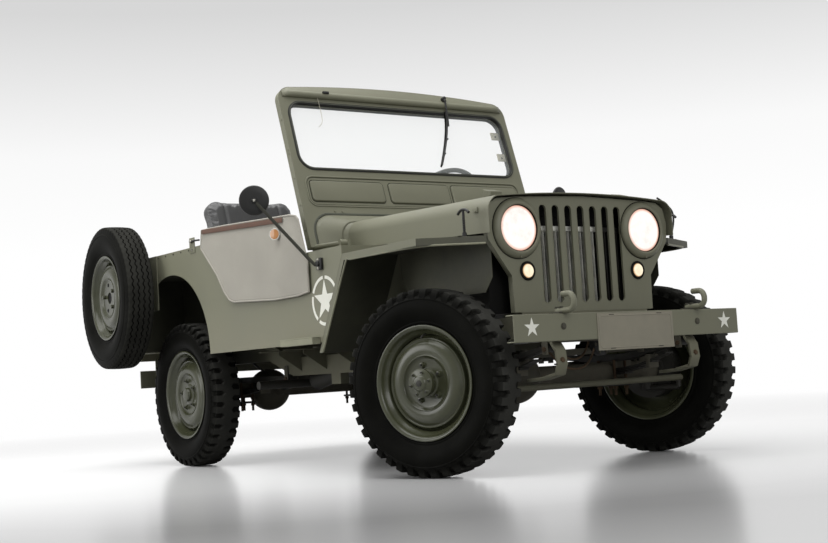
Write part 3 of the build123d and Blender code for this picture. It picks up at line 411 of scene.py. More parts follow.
def lifted(part, shift):
    """Extrude all faces by a shift and give back the vertices that moved."""
    grown = bmesh.ops.extrude_face_region(part, geom=part.faces[:])
    moved = [v for v in grown["geom"] if isinstance(v, bmesh.types.BMVert)]
    bmesh.ops.translate(part, verts=moved, vec=shift)
    return moved


def rounded(part, geom, offset, steps, clamp=True, affect="EDGES"):
    """Round some edges or corners off."""
    bmesh.ops.bevel(
        part, geom=geom, offset=offset, segments=steps, profile=0.5, affect=affect, material=-1, clamp_overlap=clamp
    )


def flank(side, near, far):
    """Two distances from the middle, as low and high Y on one side of the car."""
    return sorted((side * near, side * far))


def mirrored(section):
    """A section carried on back across its middle plane."""
    return section + [(-offset, radius) for offset, radius in reversed(section)]


def turned(section, steps=64):
    """Solid or shell spun about X from (offset, radius) points; a closed section gives a closed ring."""
    part = bmesh.new()
    rim = [part.verts.new((offset, radius, 0)) for offset, radius in section]
    open_ends = section[0][1] < 1e-6 and section[-1][1] < 1e-6
    links = list(zip(rim, rim[1:])) + ([] if open_ends else [(rim[-1], rim[0])])
    edges = [part.edges.new(pair) for pair in links]
    bmesh.ops.spin(
        part, geom=rim + edges, axis=(1, 0, 0), cent=(0, 0, 0), angle=2 * pi, steps=steps, use_merge=True
    )
    bmesh.ops.remove_doubles(part, verts=part.verts, dist=1e-6)
    bmesh.ops.recalc_face_normals(part, faces=part.faces)
    return part


def lens(section, steps):
    """Lens spun from a section, with its reach from the middle kept as an attribute."""
    part = turned(section, steps)
    layer = part.verts.layers.float.new("reach")
    widest = max(radius for _, radius in section)
    for vert in part.verts:
        vert[layer] = hypot(vert.co.y, vert.co.z) / widest
    return part


def drum(start, end, radius, far_radius=None, sides=20, soft=0.0):
    """Round bar or cone between two points, with softened rims."""
    start, end = Vector(start), Vector(end)
    part = bmesh.new()
    reach = (end - start).length
    bmesh.ops.create_cone(
        part, cap_ends=True, segments=sides, radius1=radius, radius2=far_radius or radius, depth=reach,
        matrix=Matrix.Rotation(pi / 2, 4, "Y"),
    )
    if soft:
        rims = [e for e in part.edges if abs(e.verts[0].co.x - e.verts[1].co.x) < 1e-7]
        rounded(part, rims, soft, 2)
    bmesh.ops.transform(part, matrix=basis((start + end) / 2, end - start), verts=part.verts)
    return part


def block(low, high, soft=0.002, steps=2):
    """Box between two corners with softened edges."""
    low, high = Vector(low), Vector(high)
    part = bmesh.new()
    place = Matrix.Translation((low + high) / 2) @ Matrix.Diagonal((*(high - low), 1))
    bmesh.ops.create_cube(part, size=1, matrix=place)
    if soft:
        rounded(part, part.edges, soft, steps)
    return part


def bent(points, radius, order=3, cyclic=False, sides=3):
    """Round bar that follows a smooth route through guide points."""
    curve = bpy.data.curves.new("route", "CURVE")
    curve.dimensions = "3D"
    spline = curve.splines.new("NURBS")
    spline.points.add(len(points) - 1)
    for point, co in zip(spline.points, points):
        point.co = (*co, 1)
    spline.order_u = min(order, len(points))
    spline.use_cyclic_u = cyclic
    spline.use_endpoint_u = not cyclic
    spline.resolution_u = 6
    curve.bevel_depth = radius
    curve.bevel_resolution = sides
    curve.use_fill_caps = True
    holder = bpy.data.objects.new("route", curve)
    mesh = bpy.data.meshes.new_from_object(holder)
    part = bmesh.new()
    part.from_mesh(mesh)
    bpy.data.objects.remove(holder)
    bpy.data.curves.remove(curve)
    bpy.data.meshes.remove(mesh)
    bmesh.ops.recalc_face_normals(part, faces=part.faces)
    return part


def bolt(at, along, radius=0.008, height=0.006, sides=6):
    """Bolt head on a washer."""
    at, along = Vector(at), Vector(along).normalized()
    part = drum(at, at + along * 0.0015, radius * 1.3, sides=16)
    join(part, drum(at, at + along * height, radius, sides=sides, soft=0.0008))
    return part


def panel_face(half_u, low_v, high_v, corner):
    """Face in the X-Y plane with round corners."""
    part = bmesh.new()
    place = Matrix.Translation((0, (low_v + high_v) / 2, 0)) @ Matrix.Diagonal((half_u, (high_v - low_v) / 2, 1, 1))
    bmesh.ops.create_grid(part, x_segments=1, y_segments=1, size=1, matrix=place)
    if corner:
        rounded(part, part.verts, corner, 8, clamp=False, affect="VERTICES")
    return part


def raised_pad(half_u, low_v, high_v, corner, height, soft):
    """Round-cornered pad that stands up from the X-Y plane with a soft edge."""
    part = panel_face(half_u, low_v, high_v, corner)
    top = lifted(part, (0, 0, height))
    rims = [e for e in part.edges if all(v in top for v in e.verts)]
    rounded(part, rims, soft, 3, clamp=False)
    bmesh.ops.recalc_face_normals(part, faces=part.faces)
    return part


def loop_bar(half_u, low_v, high_v, corner, width, low_w, high_w, soft=0.0015):
    """Closed band round a round-cornered opening in the X-Y plane; width reaches outward."""
    part = panel_face(half_u + width, low_v - width, high_v + width, corner + width)
    inner = bmesh.ops.inset_region(
        part, faces=part.faces[:], thickness=width, use_even_offset=True, use_boundary=True
    )
    band = set(inner["faces"])
    bmesh.ops.delete(part, geom=[f for f in part.faces if f not in band], context="FACES")
    bmesh.ops.translate(part, verts=part.verts, vec=(0, 0, low_w))
    top = lifted(part, (0, 0, high_w - low_w))
    if soft:
        rims = [e for e in part.edges if all(v in top for v in e.verts) and len(e.link_faces) == 2]
        rims = [e for e in rims if e.calc_face_angle(0) > 0.5]
        rounded(part, rims, soft, 2)
    bmesh.ops.recalc_face_normals(part, faces=part.faces)
    return part


def mapped_sheet(columns, rows, place_point):
    """Grid whose points are moved to place_point(across, up), both from 0 to 1."""
    part = bmesh.new()
    bmesh.ops.create_grid(part, x_segments=columns, y_segments=rows, size=0.5)
    for vert in part.verts:
        vert.co = place_point(vert.co.x + 0.5, vert.co.y + 0.5)
    return part


def piece(name, shape, body, finishes, stands_for=(), smooth=38, bevel=None, thick=None):
    """Turn a built shape into a finished object of the car."""
    mesh = bpy.data.meshes.new(name)
    shape.to_mesh(mesh)
    shape.free()
    for polygon in mesh.polygons:
        polygon.use_smooth = True
    mesh.set_sharp_from_angle(angle=radians(smooth))
    made = bpy.data.objects.new(name, mesh)
    bpy.context.scene.collection.objects.link(made)
    for finish in finishes:
        mesh.materials.append(FINISHES[finish])
    if thick:
        skin = made.modifiers.new("thickness", "SOLIDIFY")
        skin.thickness, skin.offset = thick, 0
    if bevel:
        width, steps = bevel
        edge = made.modifiers.new("edges", "BEVEL")
        edge.width, edge.segments, edge.limit_method = width, steps, "ANGLE"
        edge.angle_limit = radians(32)
        edge.harden_normals = True
        edge.use_clamp_overlap = True
    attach(made, body)
    if stands_for:
        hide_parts(*stands_for)
    return made


def copied(node):
    """Merged copy of a CAD part's mesh."""
    part = bmesh.new()
    part.from_mesh(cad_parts[node].data)
    bmesh.ops.remove_doubles(part, verts=part.verts, dist=0.00004)
    bmesh.ops.dissolve_limit(
        part, angle_limit=radians(0.4), verts=part.verts, edges=part.edges, use_dissolve_boundaries=False
    )
    return part


def softened(name, node, body, finish, width=0.0012, steps=2):
    """A CAD part with softened edges."""
    shape = bmesh.new()
    join(shape, copied(node))
    piece(name, shape, body, [finish], stands_for=[node], bevel=(width, steps))


def dress(node, finish):
    """Give a CAD part that stays as it is its finish."""
    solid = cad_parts[node]
    solid.data.materials.clear()
    solid.data.materials.append(FINISHES[finish])


def wheel_place(end, side):
    """Placing matrix of a road wheel: X looks outboard along its axle."""
    if end == "rear":
        return basis((AXLE_X["rear"], side * HALF_TRACK, HUB_Z), (0, side, 0))
    outward = Vector((-side * sin(REST_STEER), side * cos(REST_STEER), 0))
    return basis(Vector((AXLE_X["front"], side * KINGPIN_Y, HUB_Z)) + outward * KINGPIN_INSET, outward)


def star_shape(radius):
    """Flat five-pointed star facing +X, one point up."""
    part = bmesh.new()
    bmesh.ops.create_circle(part, cap_ends=True, segments=10, radius=radius, matrix=basis((0, 0, 0), (0, 0, 1)))
    rim = sorted(part.verts, key=lambda v: atan2(v.co.y, v.co.z))
    start = min(range(10), key=lambda k: -rim[k].co.z)
    lean = atan2(rim[start].co.y, rim[start].co.z)
    bmesh.ops.rotate(part, verts=part.verts, cent=(0, 0, 0), matrix=Matrix.Rotation(lean, 3, "X"))
    for k, vert in enumerate(rim):
        if (k - start) % 2:
            vert.co *= STAR_NOTCH
    lifted(part, (STAR_THICK, 0, 0))
    bmesh.ops.recalc_face_normals(part, faces=part.faces)
    return part


# ---------------------------------------------------------------- operators
class PieceOperator:
    """Shared settings of the operators that make pieces."""

    bl_options = {"REGISTER", "UNDO"}

    def execute(self, context):
        if not FINISHES:
            make_finishes()
        self.make(context)
        return {"FINISHED"}


class ARMYCAR_OT_body_panels(PieceOperator, bpy.types.Operator):
    """Fenders, cowl, tub and tailgate in dull olive sheet"""

    bl_idname = "army_car.body_panels"
    bl_label = "Body panels"

    def make(self, context):
        softened("cowl_shell", "cowl", "chassis", "olive_paint")
        softened("floor_pan", "tub_floor", "chassis", "tub_paint")
        shape = copied("wheelhouses")
        # Faces that look into the wheel well or downward take the darker olive as painted shade
        for face in shape.faces:
            at, facing = face.calc_center_median(), face.normal
            inward = facing.x * (at.x - AXLE_X["rear"]) < -0.03 or facing.y * at.y > 0.1 or facing.z < -0.3
            face.material_index = 1 if inward else 0
        piece(
            "wheelhouse_boxes", shape, "chassis", ["tub_paint", "well_painted_shade"], stands_for=["wheelhouses"],
            bevel=(0.004, 2),
        )
        softened("tub_back", "tub_rear", "chassis", "tub_paint")
        softened("tailgate_panel", "tailgate", "tailgate", "tub_paint", width=0.003)
        for side, word in SIDES:
            shape = copied(f"side_{word}")
            for face in shape.faces:
                at, facing = face.calc_center_median(), face.normal
                face.material_index = 1 if at.x > 0.25 and at.z < 0.58 and abs(at.y) > 0.73 else 0
            # The bolt heads along the tub top take the same dark olive
            for k in range(9):
                join(shape, bolt((-1.40 + 0.09 * k, side * TUB_Y, 1.068), (0, side, 0), 0.0035, 0.003, 10), 2)
            piece(
                f"tub_side_{word}", shape, "chassis", ["tub_paint", "step_paint", "crease_shade_dark_olive"],
                stands_for=[f"side_{word}"], bevel=(0.0012, 2),
            )
            self.fender(side, word)
            self.rail_fittings(side, word)

    def rail_fittings(self, side, word):
        """Latch plate and strap pin behind the door, and the tread of the step."""
        shape = bmesh.new()
        low, high = flank(side, TUB_Y, TUB_Y + 0.004)
        join(shape, block((-0.664, low, 1.050), (-0.606, high, 1.126), 0.002), 0)
        for x, z in ((-0.652, 1.112), (-0.618, 1.112), (-0.635, 1.066)):
            join(shape, bolt((x, side * (TUB_Y + 0.004), z), (0, side, 0), 0.005, 0.004), 1)
        y = side * (TUB_Y + 0.010)
        join(shape, drum((-0.635, side * TUB_Y, 1.106), (-0.635, y + side * 0.006, 1.106), 0.007, soft=0.001), 1)
        join(shape, bent([(-0.635, y, 1.106), (-0.590, y, 1.108), (-0.540, y, 1.104)], 0.0045), 2)
        low, high = flank(side, TUB_Y + 0.001, TUB_Y + 0.038)
        join(shape, block((0.250, low, 0.5712), (0.530, high, 0.5752), 0.0015), 3)
        piece(
            f"rail_fittings_{word}", shape, "chassis",
            ["tub_paint", "bright_steel", "black_trim", "step_paint"],
        )

    def fender(self, side, word):
        """Pressed fender with a rolled bead along its free edges."""
        shape = copied(f"fender_{word}")
        rod = [v for v in shape.verts if v.co.z > 0.9003]
        bmesh.ops.delete(shape, geom=rod, context="VERTS")
        bmesh.ops.holes_fill(shape, edges=[e for e in shape.edges if e.is_boundary])
        # Faces underneath and facing into the well take the darkest olive as painted shade; the apron's faces ahead of
        # x 0.98 take a less dark painted shade
        for face in shape.faces:
            at, facing = face.calc_center_median(), face.normal
            under = facing.z < -0.3 or side * facing.y < -0.3 or (facing.x > 0.3 and at.z < 0.88 and abs(at.y) < 0.715)
            apron = abs(at.y) < 0.60 and side * facing.y > 0.3 and at.z < 0.893
            face.material_index = 2 if apron and at.x > 0.98 else 1 if under or apron else 0
        y = side * (TUB_Y - 0.004)
        bead = [
            (0.515 + 0.024, y, 0.510), (0.735 + 0.026, y, 0.890), (0.770, y, 0.872), (0.83, y, 0.872),
            (1.255, y, 0.872), (1.315, side * 0.600, 0.872), (1.371, side * 0.484, 0.872),
        ]
        # The bead takes the lighter olive: partly wear, partly a painted highlight
        join(shape, bent(bead, 0.0045, sides=2), 3)
        piece(
            f"fender_skin_{word}", shape, "chassis", [
                "olive_paint", "well_painted_shade", "apron_painted_shade", "edge_wear_and_highlight"
            ],
            stands_for=[f"fender_{word}"], bevel=(0.0012, 2),
        )


def arch_point(share, half, low, high, corner, crown=0.0):
    """Point at a share of the way round an arch: up one side, over the top and down the other."""
    straight, round_part, flat = high - corner - low, corner * pi / 2, 2 * (half - corner)
    way = share * (2 * (straight + round_part) + flat)
    mirror = 1
    if way > straight + round_part + flat / 2:
        way, mirror = 2 * (straight + round_part) + flat - way, -1
    if way < straight:
        return mirror * half, low + way
    if way < straight + round_part:
        turn = (way - straight) / corner
        return mirror * (half - corner + corner * cos(turn)), high - corner + corner * sin(turn)
    across = half - corner - (way - straight - round_part)
    return mirror * across, high + crown * (1 - (across / (half - corner)) ** 2)


class ARMYCAR_OT_cowl_lip(PieceOperator, bpy.types.Operator):
    """Raised lip of the cowl that meets the windscreen's arch"""

    bl_idname = "army_car.cowl_lip"
    bl_label = "Cowl lip"

    def make(self, context):
        def place_point(across, up):
            u, v = arch_point(across, 0.603, -0.030, 0.145, 0.082)
            rear = on_screen(u, v, -0.010)
            y, z = arch_point(across, 0.5065, 0.9405, 1.0765, 0.061, 0.018)
            front = Vector((0.405, y, z))
            ahead = on_screen(u, v, 0.018)
            if up < 0.2:
                return rear.lerp(ahead, up / 0.2)
            share = (up - 0.2) / 0.8
            return ahead.lerp(front, share).lerp(front, 0.25 * sin(share * pi))

        shape = mapped_sheet(96, 15, place_point)
        piece("cowl_lip_panel", shape, "chassis", ["olive_paint"], thick=0.003, smooth=60)


class ARMYCAR_OT_hood_latches(PieceOperator, bpy.types.Operator):
    """Sprung hood latches with tee handles, one on each fender"""

    bl_idname = "army_car.hood_latches"
    bl_label = "Hood latches"

    def make(self, context):
        shape = bmesh.new()
        for side in (RIGHT, LEFT):
            x, y = 1.330, side * 0.550
            join(shape, drum((x, y, 0.8995), (x, y, 0.915), 0.009, soft=0.001), 0)
            join(shape, drum((x, y, 0.908), (x, y, 0.998), 0.0052, sides=16), 0)
            for turn in range(6):
                z = 0.918 + 0.009 * turn
                join(shape, turned([(-0.002, 0.0048), (0, 0.0075), (0.002, 0.0048)], 16), 0, basis((x, y, z), UP))
            tee = [
                (x - 0.034, y, 0.988), (x - 0.022, y, 1.000), (x, y, 1.004), (x + 0.022, y, 1.000),
                (x + 0.034, y, 0.988)
            ]
            join(shape, bent(tee, 0.0055), 0)
        rod = [
            (1.300, 0.513, 1.079), (1.300, 0.588, 1.045), (1.300, 0.608, 0.997), (1.300, 0.588, 0.932),
            (1.300, 0.574, 0.901)
        ]
        join(shape, bent(rod, 0.0042), 0)
        piece("hood_latch_pair", shape, "chassis", ["black_trim", "bright_steel"])


class ARMYCAR_OT_hood(PieceOperator, bpy.types.Operator):
    """Hood with its rest blocks and latch catches"""

    bl_idname = "army_car.hood"
    bl_label = "Hood and its fittings"

    def make(self, context):
        softened("hood_shell", "hood", "hood", "olive_paint", width=0.0015)
        shape = copied("hood_blocks")
        top, rear = max(v.co.z for v in shape.verts), min(v.co.x for v in shape.verts)
        for vert in shape.verts:
            if vert.co.z > top - 0.002:
                vert.co.z -= 0.008 + 0.26 * (vert.co.x - rear)
        piece("rest_blocks", shape, "hood", ["wood_paint"], stands_for=["hood_blocks"], bevel=(0.004, 2))
        shape = bmesh.new()
        for side in (RIGHT, LEFT):
            y = side * 0.4885
            low, high = sorted((y - side * 0.001, y + side * 0.004))
            join(shape, block((1.318, low, 0.992), (1.342, high, 1.012), 0.0015))
            join(shape, bolt((1.330, y + side * 0.004, 0.997), (0, side, 0), 0.004, 0.003))
        piece("hood_catches", shape, "hood", ["olive_paint"])


class ARMYCAR_OT_windshield(PieceOperator, bpy.types.Operator):
    """Folding windscreen: pressed frame, rolled header, rubber seal, pressed panels, wiper and clips"""

    bl_idname = "army_car.windshield"
    bl_label = "Windscreen"

    def make(self, context):
        shape = copied("windshield_frame")
        piece(
            "screen_frame", shape, "windshield", ["olive_paint"], stands_for=["windshield_frame"],
            bevel=(0.006, 3),
        )
        self.header()
        self.pressings()
        self.seals()
        self.wiper()
        dress("windshield_glass", "screen_glass")

    def header(self):
        """Rolled header over the glass, straight below and crowned above."""
        section = [
            (0.733, 0.012), (0.733, 0.026), (0.738, 0.033), (0.746, 0.036), (0.755, 0.034), (0.761, 0.028),
            (0.766, 0.024), (None, 0.019), (None, 0.010),
        ]

        def place_point(across, up):
            u = -HEADER_HALF + 2 * HEADER_HALF * across
            v, w = section[round(up * (len(section) - 1))]
            crown = 0.785 + 0.026 * max(0, 1 - (u / HEADER_BEND) ** 2)
            if abs(u) > HEADER_BEND:
                fall = (abs(u) - HEADER_BEND) / HEADER_FALL
                crown -= HEADER_FALL * (1 - sqrt(max(0, 1 - min(fall, 1) ** 2)))
            if v is None:
                v = crown - (0.004 if w > 0.015 else 0.0)
            stand = min(1.0, (0.632 - abs(u)) / 0.035)
            return on_screen(u, min(v, crown), 0.0165 + (w - 0.0165) * stand)

        shape = mapped_sheet(48, len(section) - 1, place_point)
        piece("screen_header", shape, "windshield", ["olive_paint"], thick=0.0025, smooth=70)

    def pressings(self):
        """Three raised panels inside a bead, below the glass."""
        shape = bmesh.new()
        for low_u, high_u in ((-0.585, -0.200), (-0.167, 0.172), (0.190, 0.585)):
            middle = (low_u + high_u) / 2
            pad = raised_pad((high_u - low_u) / 2, 0.214, 0.313, 0.016, 0.0075, 0.0055)
            join(shape, pad, 0, SCREEN_PLACE @ Matrix.Translation((middle, 0, SCREEN_FACE - 0.0005)))
            # A thin dark line of painted shade round each pad, where it meets the screen
            line = loop_bar(
                (high_u - low_u) / 2 + 0.0005, 0.2135, 0.3135, 0.016, 0.0038, SCREEN_FACE, SCREEN_FACE + 0.0005, 0
            )
            join(shape, line, 1, SCREEN_PLACE @ Matrix.Translation((middle, 0, 0)))
        bead = loop_bar(0.600, 0.196, 0.331, 0.035, 0.008, SCREEN_FACE - 0.001, SCREEN_FACE + 0.004, 0.0035)
        join(shape, bead, 0, SCREEN_PLACE)
        # A thin dark line of painted shade along the inside of the bead
        line = loop_bar(0.5975, 0.1985, 0.3285, 0.033, 0.0032, SCREEN_FACE, SCREEN_FACE + 0.0006, 0)
        join(shape, line, 1, SCREEN_PLACE)
        for u, v in ((-0.486, 0.167), (-0.446, 0.165), (0.486, 0.167), (0.446, 0.165)):
            at = on_screen(u, v, SCREEN_FACE - 0.0005)
            join(shape, bolt(at, SCREEN_PLACE.to_3x3() @ UP, 0.005, 0.004, 12))
        for side in (RIGHT, LEFT):
            for v in (0.08, 0.20, 0.33, 0.45, 0.47, 0.62):
                at = on_screen(side * 0.6475, v, 0.002)
                join(shape, bolt(at, (0, side, 0), 0.004, 0.003, 12))
        piece("screen_pressings", shape, "windshield", ["olive_paint", "crease_shade_dark_olive"])

    def seals(self):
        """Rubber round the glass and along the arch over the cowl."""
        shape = bmesh.new()
        for low_w, high_w in ((SCREEN_FACE - 0.013, SCREEN_FACE + 0.004), (-SCREEN_FACE - 0.004, -0.004)):
            join(shape, loop_bar(0.6025, 0.3805, 0.7015, 0.0615, 0.0135, low_w, high_w, 0.002), 0, SCREEN_PLACE)
        bead = loop_bar(0.607, 0.376, 0.706, 0.066, 0.004, SCREEN_FACE, SCREEN_FACE + 0.0065, 0.0015)
        join(shape, bead, 1, SCREEN_PLACE)
        arch = loop_bar(0.606, -0.10, 0.148, 0.084, 0.010, -0.016, SCREEN_FACE + 0.002, 0.002)
        bmesh.ops.bisect_plane(
            arch, geom=arch.verts[:] + arch.edges[:] + arch.faces[:], plane_co=(0, 0.0, 0), plane_no=(0, -1, 0),
            clear_outer=True,
        )
        bmesh.ops.holes_fill(arch, edges=[e for e in arch.edges if e.is_boundary])
        join(shape, arch, 1, SCREEN_PLACE)
        piece("screen_seals", shape, "windshield", ["black_trim", "seal_grey"])

    def wiper(self):
        """Wiper with its arm and blade, clips for the inspection sticker and a wire."""
        shape = bmesh.new()

        join(shape, drum(on_screen(0.276, 0.780, 0.020), on_screen(0.276, 0.780, 0.046), 0.011, 0.009, soft=0.002))
        join(shape, drum(on_screen(0.276, 0.780, 0.030), on_screen(0.276, 0.762, 0.044), 0.008, 0.006, soft=0.001))
        join(
            shape,
            bent(
                [on_screen(*spot) for spot in ((0.276, 0.776, 0.042), (0.274, 0.720, 0.040), (0.264, 0.630, 0.033))],
                0.0046
            )
        )
        join(
            shape,
            bent(
                [on_screen(*spot) for spot in ((0.272, 0.712, 0.029), (0.267, 0.610, 0.032), (0.169, 0.418, 0.027))],
                0.0044
            )
        )
        for v, u in ((0.690, 0.271), (0.640, 0.264), (0.560, 0.240), (0.480, 0.203)):
            join(shape, drum(on_screen(u, v, 0.020), on_screen(u, v, 0.033), 0.0042, sides=10), 0)
        blade = [on_screen(*spot) for spot in ((0.270, 0.714, 0.022), (0.262, 0.608, 0.0225), (0.165, 0.412, 0.022))]
        join(shape, bent(blade, 0.0046), 1)
        piece("wiper_arm", shape, "windshield", ["black_trim", "tyre_rubber"], stands_for=["wiper"])
        shape = bmesh.new()
        for u, v in ((0.576, 0.495), (0.570, 0.613)):
            clip = block((-0.022, -0.022, -0.002), (0.030, 0.020, 0.002), 0.002)
            join(shape, clip, 0, SCREEN_PLACE @ Matrix.Translation((u, v, -0.008)))
            join(
                shape,
                drum(on_screen(u + 0.004, v - 0.004, -0.011), on_screen(u + 0.004, v - 0.004, -0.004), 0.005, sides=12),
                1
            )
        wire = [
            on_screen(*spot)
            for spot in ((-0.447, 0.735, 0.026), (-0.443, 0.660, 0.024), (-0.446, 0.600, 0.022), (-0.470, 0.588, 0.020))
        ]
        join(shape, bent(wire, 0.0012))
        hook = block((-0.014, -0.005, 0), (0.018, 0.006, 0.010), 0.002)
        join(shape, hook, 1, SCREEN_PLACE @ Matrix.Translation((-0.406, 0.757, 0.033)))
        piece("screen_clips", shape, "windshield", ["dull_strip", "black_trim"])


class ARMYCAR_OT_grille(PieceOperator, bpy.types.Operator):
    """Slotted grille with the radiator and its shutters behind"""

    bl_idname = "army_car.grille"
    bl_label = "Grille and radiator"

    def make(self, context):
        shape = copied("grille")
        spot = Matrix(((0, 0, 1, GRILLE_X), (1, 0, 0, 0), (0, 1, 0, 0), (0, 0, 0, 1)))
        for step in range(-3, 4):
            flange = loop_bar(0.0178, 0.6406, 1.0234, 0.0177, 0.0014, -0.009, 0.0010, 0.0005)
            join(shape, flange, 0, spot @ Matrix.Translation((step * GRILLE_PITCH, 0, 0)))
        piece("grille_front", shape, "chassis", ["olive_paint"], stands_for=["grille"], bevel=(0.0012, 2))
        softened("radiator_core", "radiator", "chassis", "lamp_dark", width=0.004)
        shape = bmesh.new()
        # Fins on the car's right and middle take the near-white as painted light, those on its left the dark iron as
        # painted shade; the top bar is split the same way, and the bottom bar is dark
        for step in range(-14, 15):
            y = step * FIN_PITCH
            dull = 0 if step < 7 else 1
            join(shape, block((1.322, y - 0.0022, 0.625), (1.334, y + 0.0022, 0.926), 0.0006, 1), dull)
        join(shape, block((1.316, -0.246, 0.925), (1.337, 0.120, 0.946), 0.003))
        join(shape, block((1.316, 0.121, 0.925), (1.330, 0.246, 0.944), 0.003), 1)
        join(shape, block((1.314, -0.246, 0.612), (1.330, 0.246, 0.628), 0.003), 1)
        piece("radiator_shutters", shape, "chassis", ["fin_painted_light", "oily_iron_and_shade"])
        # Near-black plates beside and above the radiator, behind the grille: painted shade for the space beyond
        shape = bmesh.new()
        for low_y, high_y in ((-0.425, -0.2505), (0.2505, 0.425)):
            join(shape, block((1.296, low_y, 0.6065), (1.299, high_y, 1.030), 0.001, 1))
        join(shape, block((1.296, -0.2505, 0.986), (1.299, 0.2505, 1.040), 0.001, 1))
        piece("radiator_shade_baffles", shape, "chassis", ["lamp_dark"])


class ARMYCAR_OT_lamps(PieceOperator, bpy.types.Operator):
    """Lit head and marker lamps in their bezels, and the tail lamps"""

    bl_idname = "army_car.lamps"
    bl_label = "Lamps"

    def make(self, context):
        bezel = [
            (-0.030, 0.100), (-0.004, 0.1155), (0.003, 0.1165), (0.009, 0.1155), (0.016, 0.109), (0.021, 0.1015),
            (0.0225, 0.0965), (0.0215, 0.093), (0.017, 0.0905), (0.012, 0.090), (0.008, 0.094), (-0.010, 0.094),
            (-0.030, 0.088),
        ]
        inner = [(0.006, 0.0930), (0.0165, 0.0925), (0.0175, 0.0900), (0.0150, 0.0872), (0.004, 0.0868)]
        bowl = [(-0.070, 0.0), (-0.068, 0.045), (-0.050, 0.080), (-0.020, 0.0985), (-0.004, 0.0995), (-0.004, 0.096),
                (-0.022, 0.095), (-0.052, 0.076), (-0.066, 0.042), (-0.067, 0.0)]
        glass = [
            (0.008, 0.0), (0.008, 0.0872), (0.0115, 0.0872), (0.0145, 0.076), (0.0175, 0.052), (0.0192, 0.026),
            (0.0198, 0.0)
        ]
        small_rim = [
            (-0.006, 0.030), (-0.001, 0.037), (0.004, 0.0375), (0.008, 0.034), (0.0085, 0.030), (0.006, 0.0275),
            (-0.004, 0.0272),
        ]
        small_bowl = [(-0.034, 0.0), (-0.034, 0.020), (-0.006, 0.029), (-0.004, 0.0268), (-0.030, 0.018), (-0.030, 0.0)]
        small_glass = [(0.002, 0.0), (0.002, 0.0268), (0.006, 0.0265), (0.012, 0.021), (0.016, 0.012), (0.0175, 0.0)]
        shells, lenses = bmesh.new(), bmesh.new()
        for side in (RIGHT, LEFT):
            head = Matrix.Translation((GRILLE_X, side * HEAD_LAMP_Y, HEAD_LAMP_Z))
            join(shells, turned(bezel, 72), 0, head)
            # Two thin dark rings of painted shade: one in the gap between lens and bezel, one round the bezel where it
            # meets the grille
            join(shells, turned(inner, 64), 1, head)
            join(shells, turned([(-0.001, 0.1150), (0.0008, 0.1150), (0.0008, 0.1195), (-0.001, 0.1195)], 72), 1, head)
            join(shells, turned(bowl, 48), 0, head)
            join(shells, bolt((GRILLE_X + 0.012, side * HEAD_LAMP_Y, HEAD_LAMP_Z - 0.109), (1, 0, -0.5), 0.0045, 0.008))
            join(lenses, lens(glass, 48), 0, head)
            marker = Matrix.Translation((GRILLE_X, side * MARKER_Y, MARKER_Z))
            join(shells, turned(small_rim, 40), 1, marker)
            join(shells, turned(small_bowl, 32), 1, marker)
            join(lenses, lens(small_glass, 48), 1, marker)
        piece("lamp_shells", shells, "chassis", ["olive_paint", "lamp_dark"], stands_for=["front_lamps"])
        piece("lamp_glass", lenses, "chassis", ["lamp_glow", "marker_glow"], stands_for=["lamp_lenses"])
        self.tail()

    def tail(self):
        """Round tail lamps on the back panel."""
        shape = bmesh.new()
        shell = [(0.0, 0.0), (0.0, 0.040), (0.004, 0.042), (0.016, 0.042), (0.020, 0.038), (0.016, 0.034), (0.014, 0.0)]
        glass = [(0.012, 0.0), (0.012, 0.0345), (0.022, 0.031), (0.0275, 0.018), (0.0295, 0.0)]
        for side in (RIGHT, LEFT):
            place = basis((-1.525, side * 0.600, 0.760), (-1, 0, 0))
            join(shape, turned(shell, 40), 0, place)
            join(shape, turned(glass, 40), 1, place)
        piece("tail_lamp_pair", shape, "chassis", ["lamp_dark", "red_glass"], stands_for=["tail_lamps"])


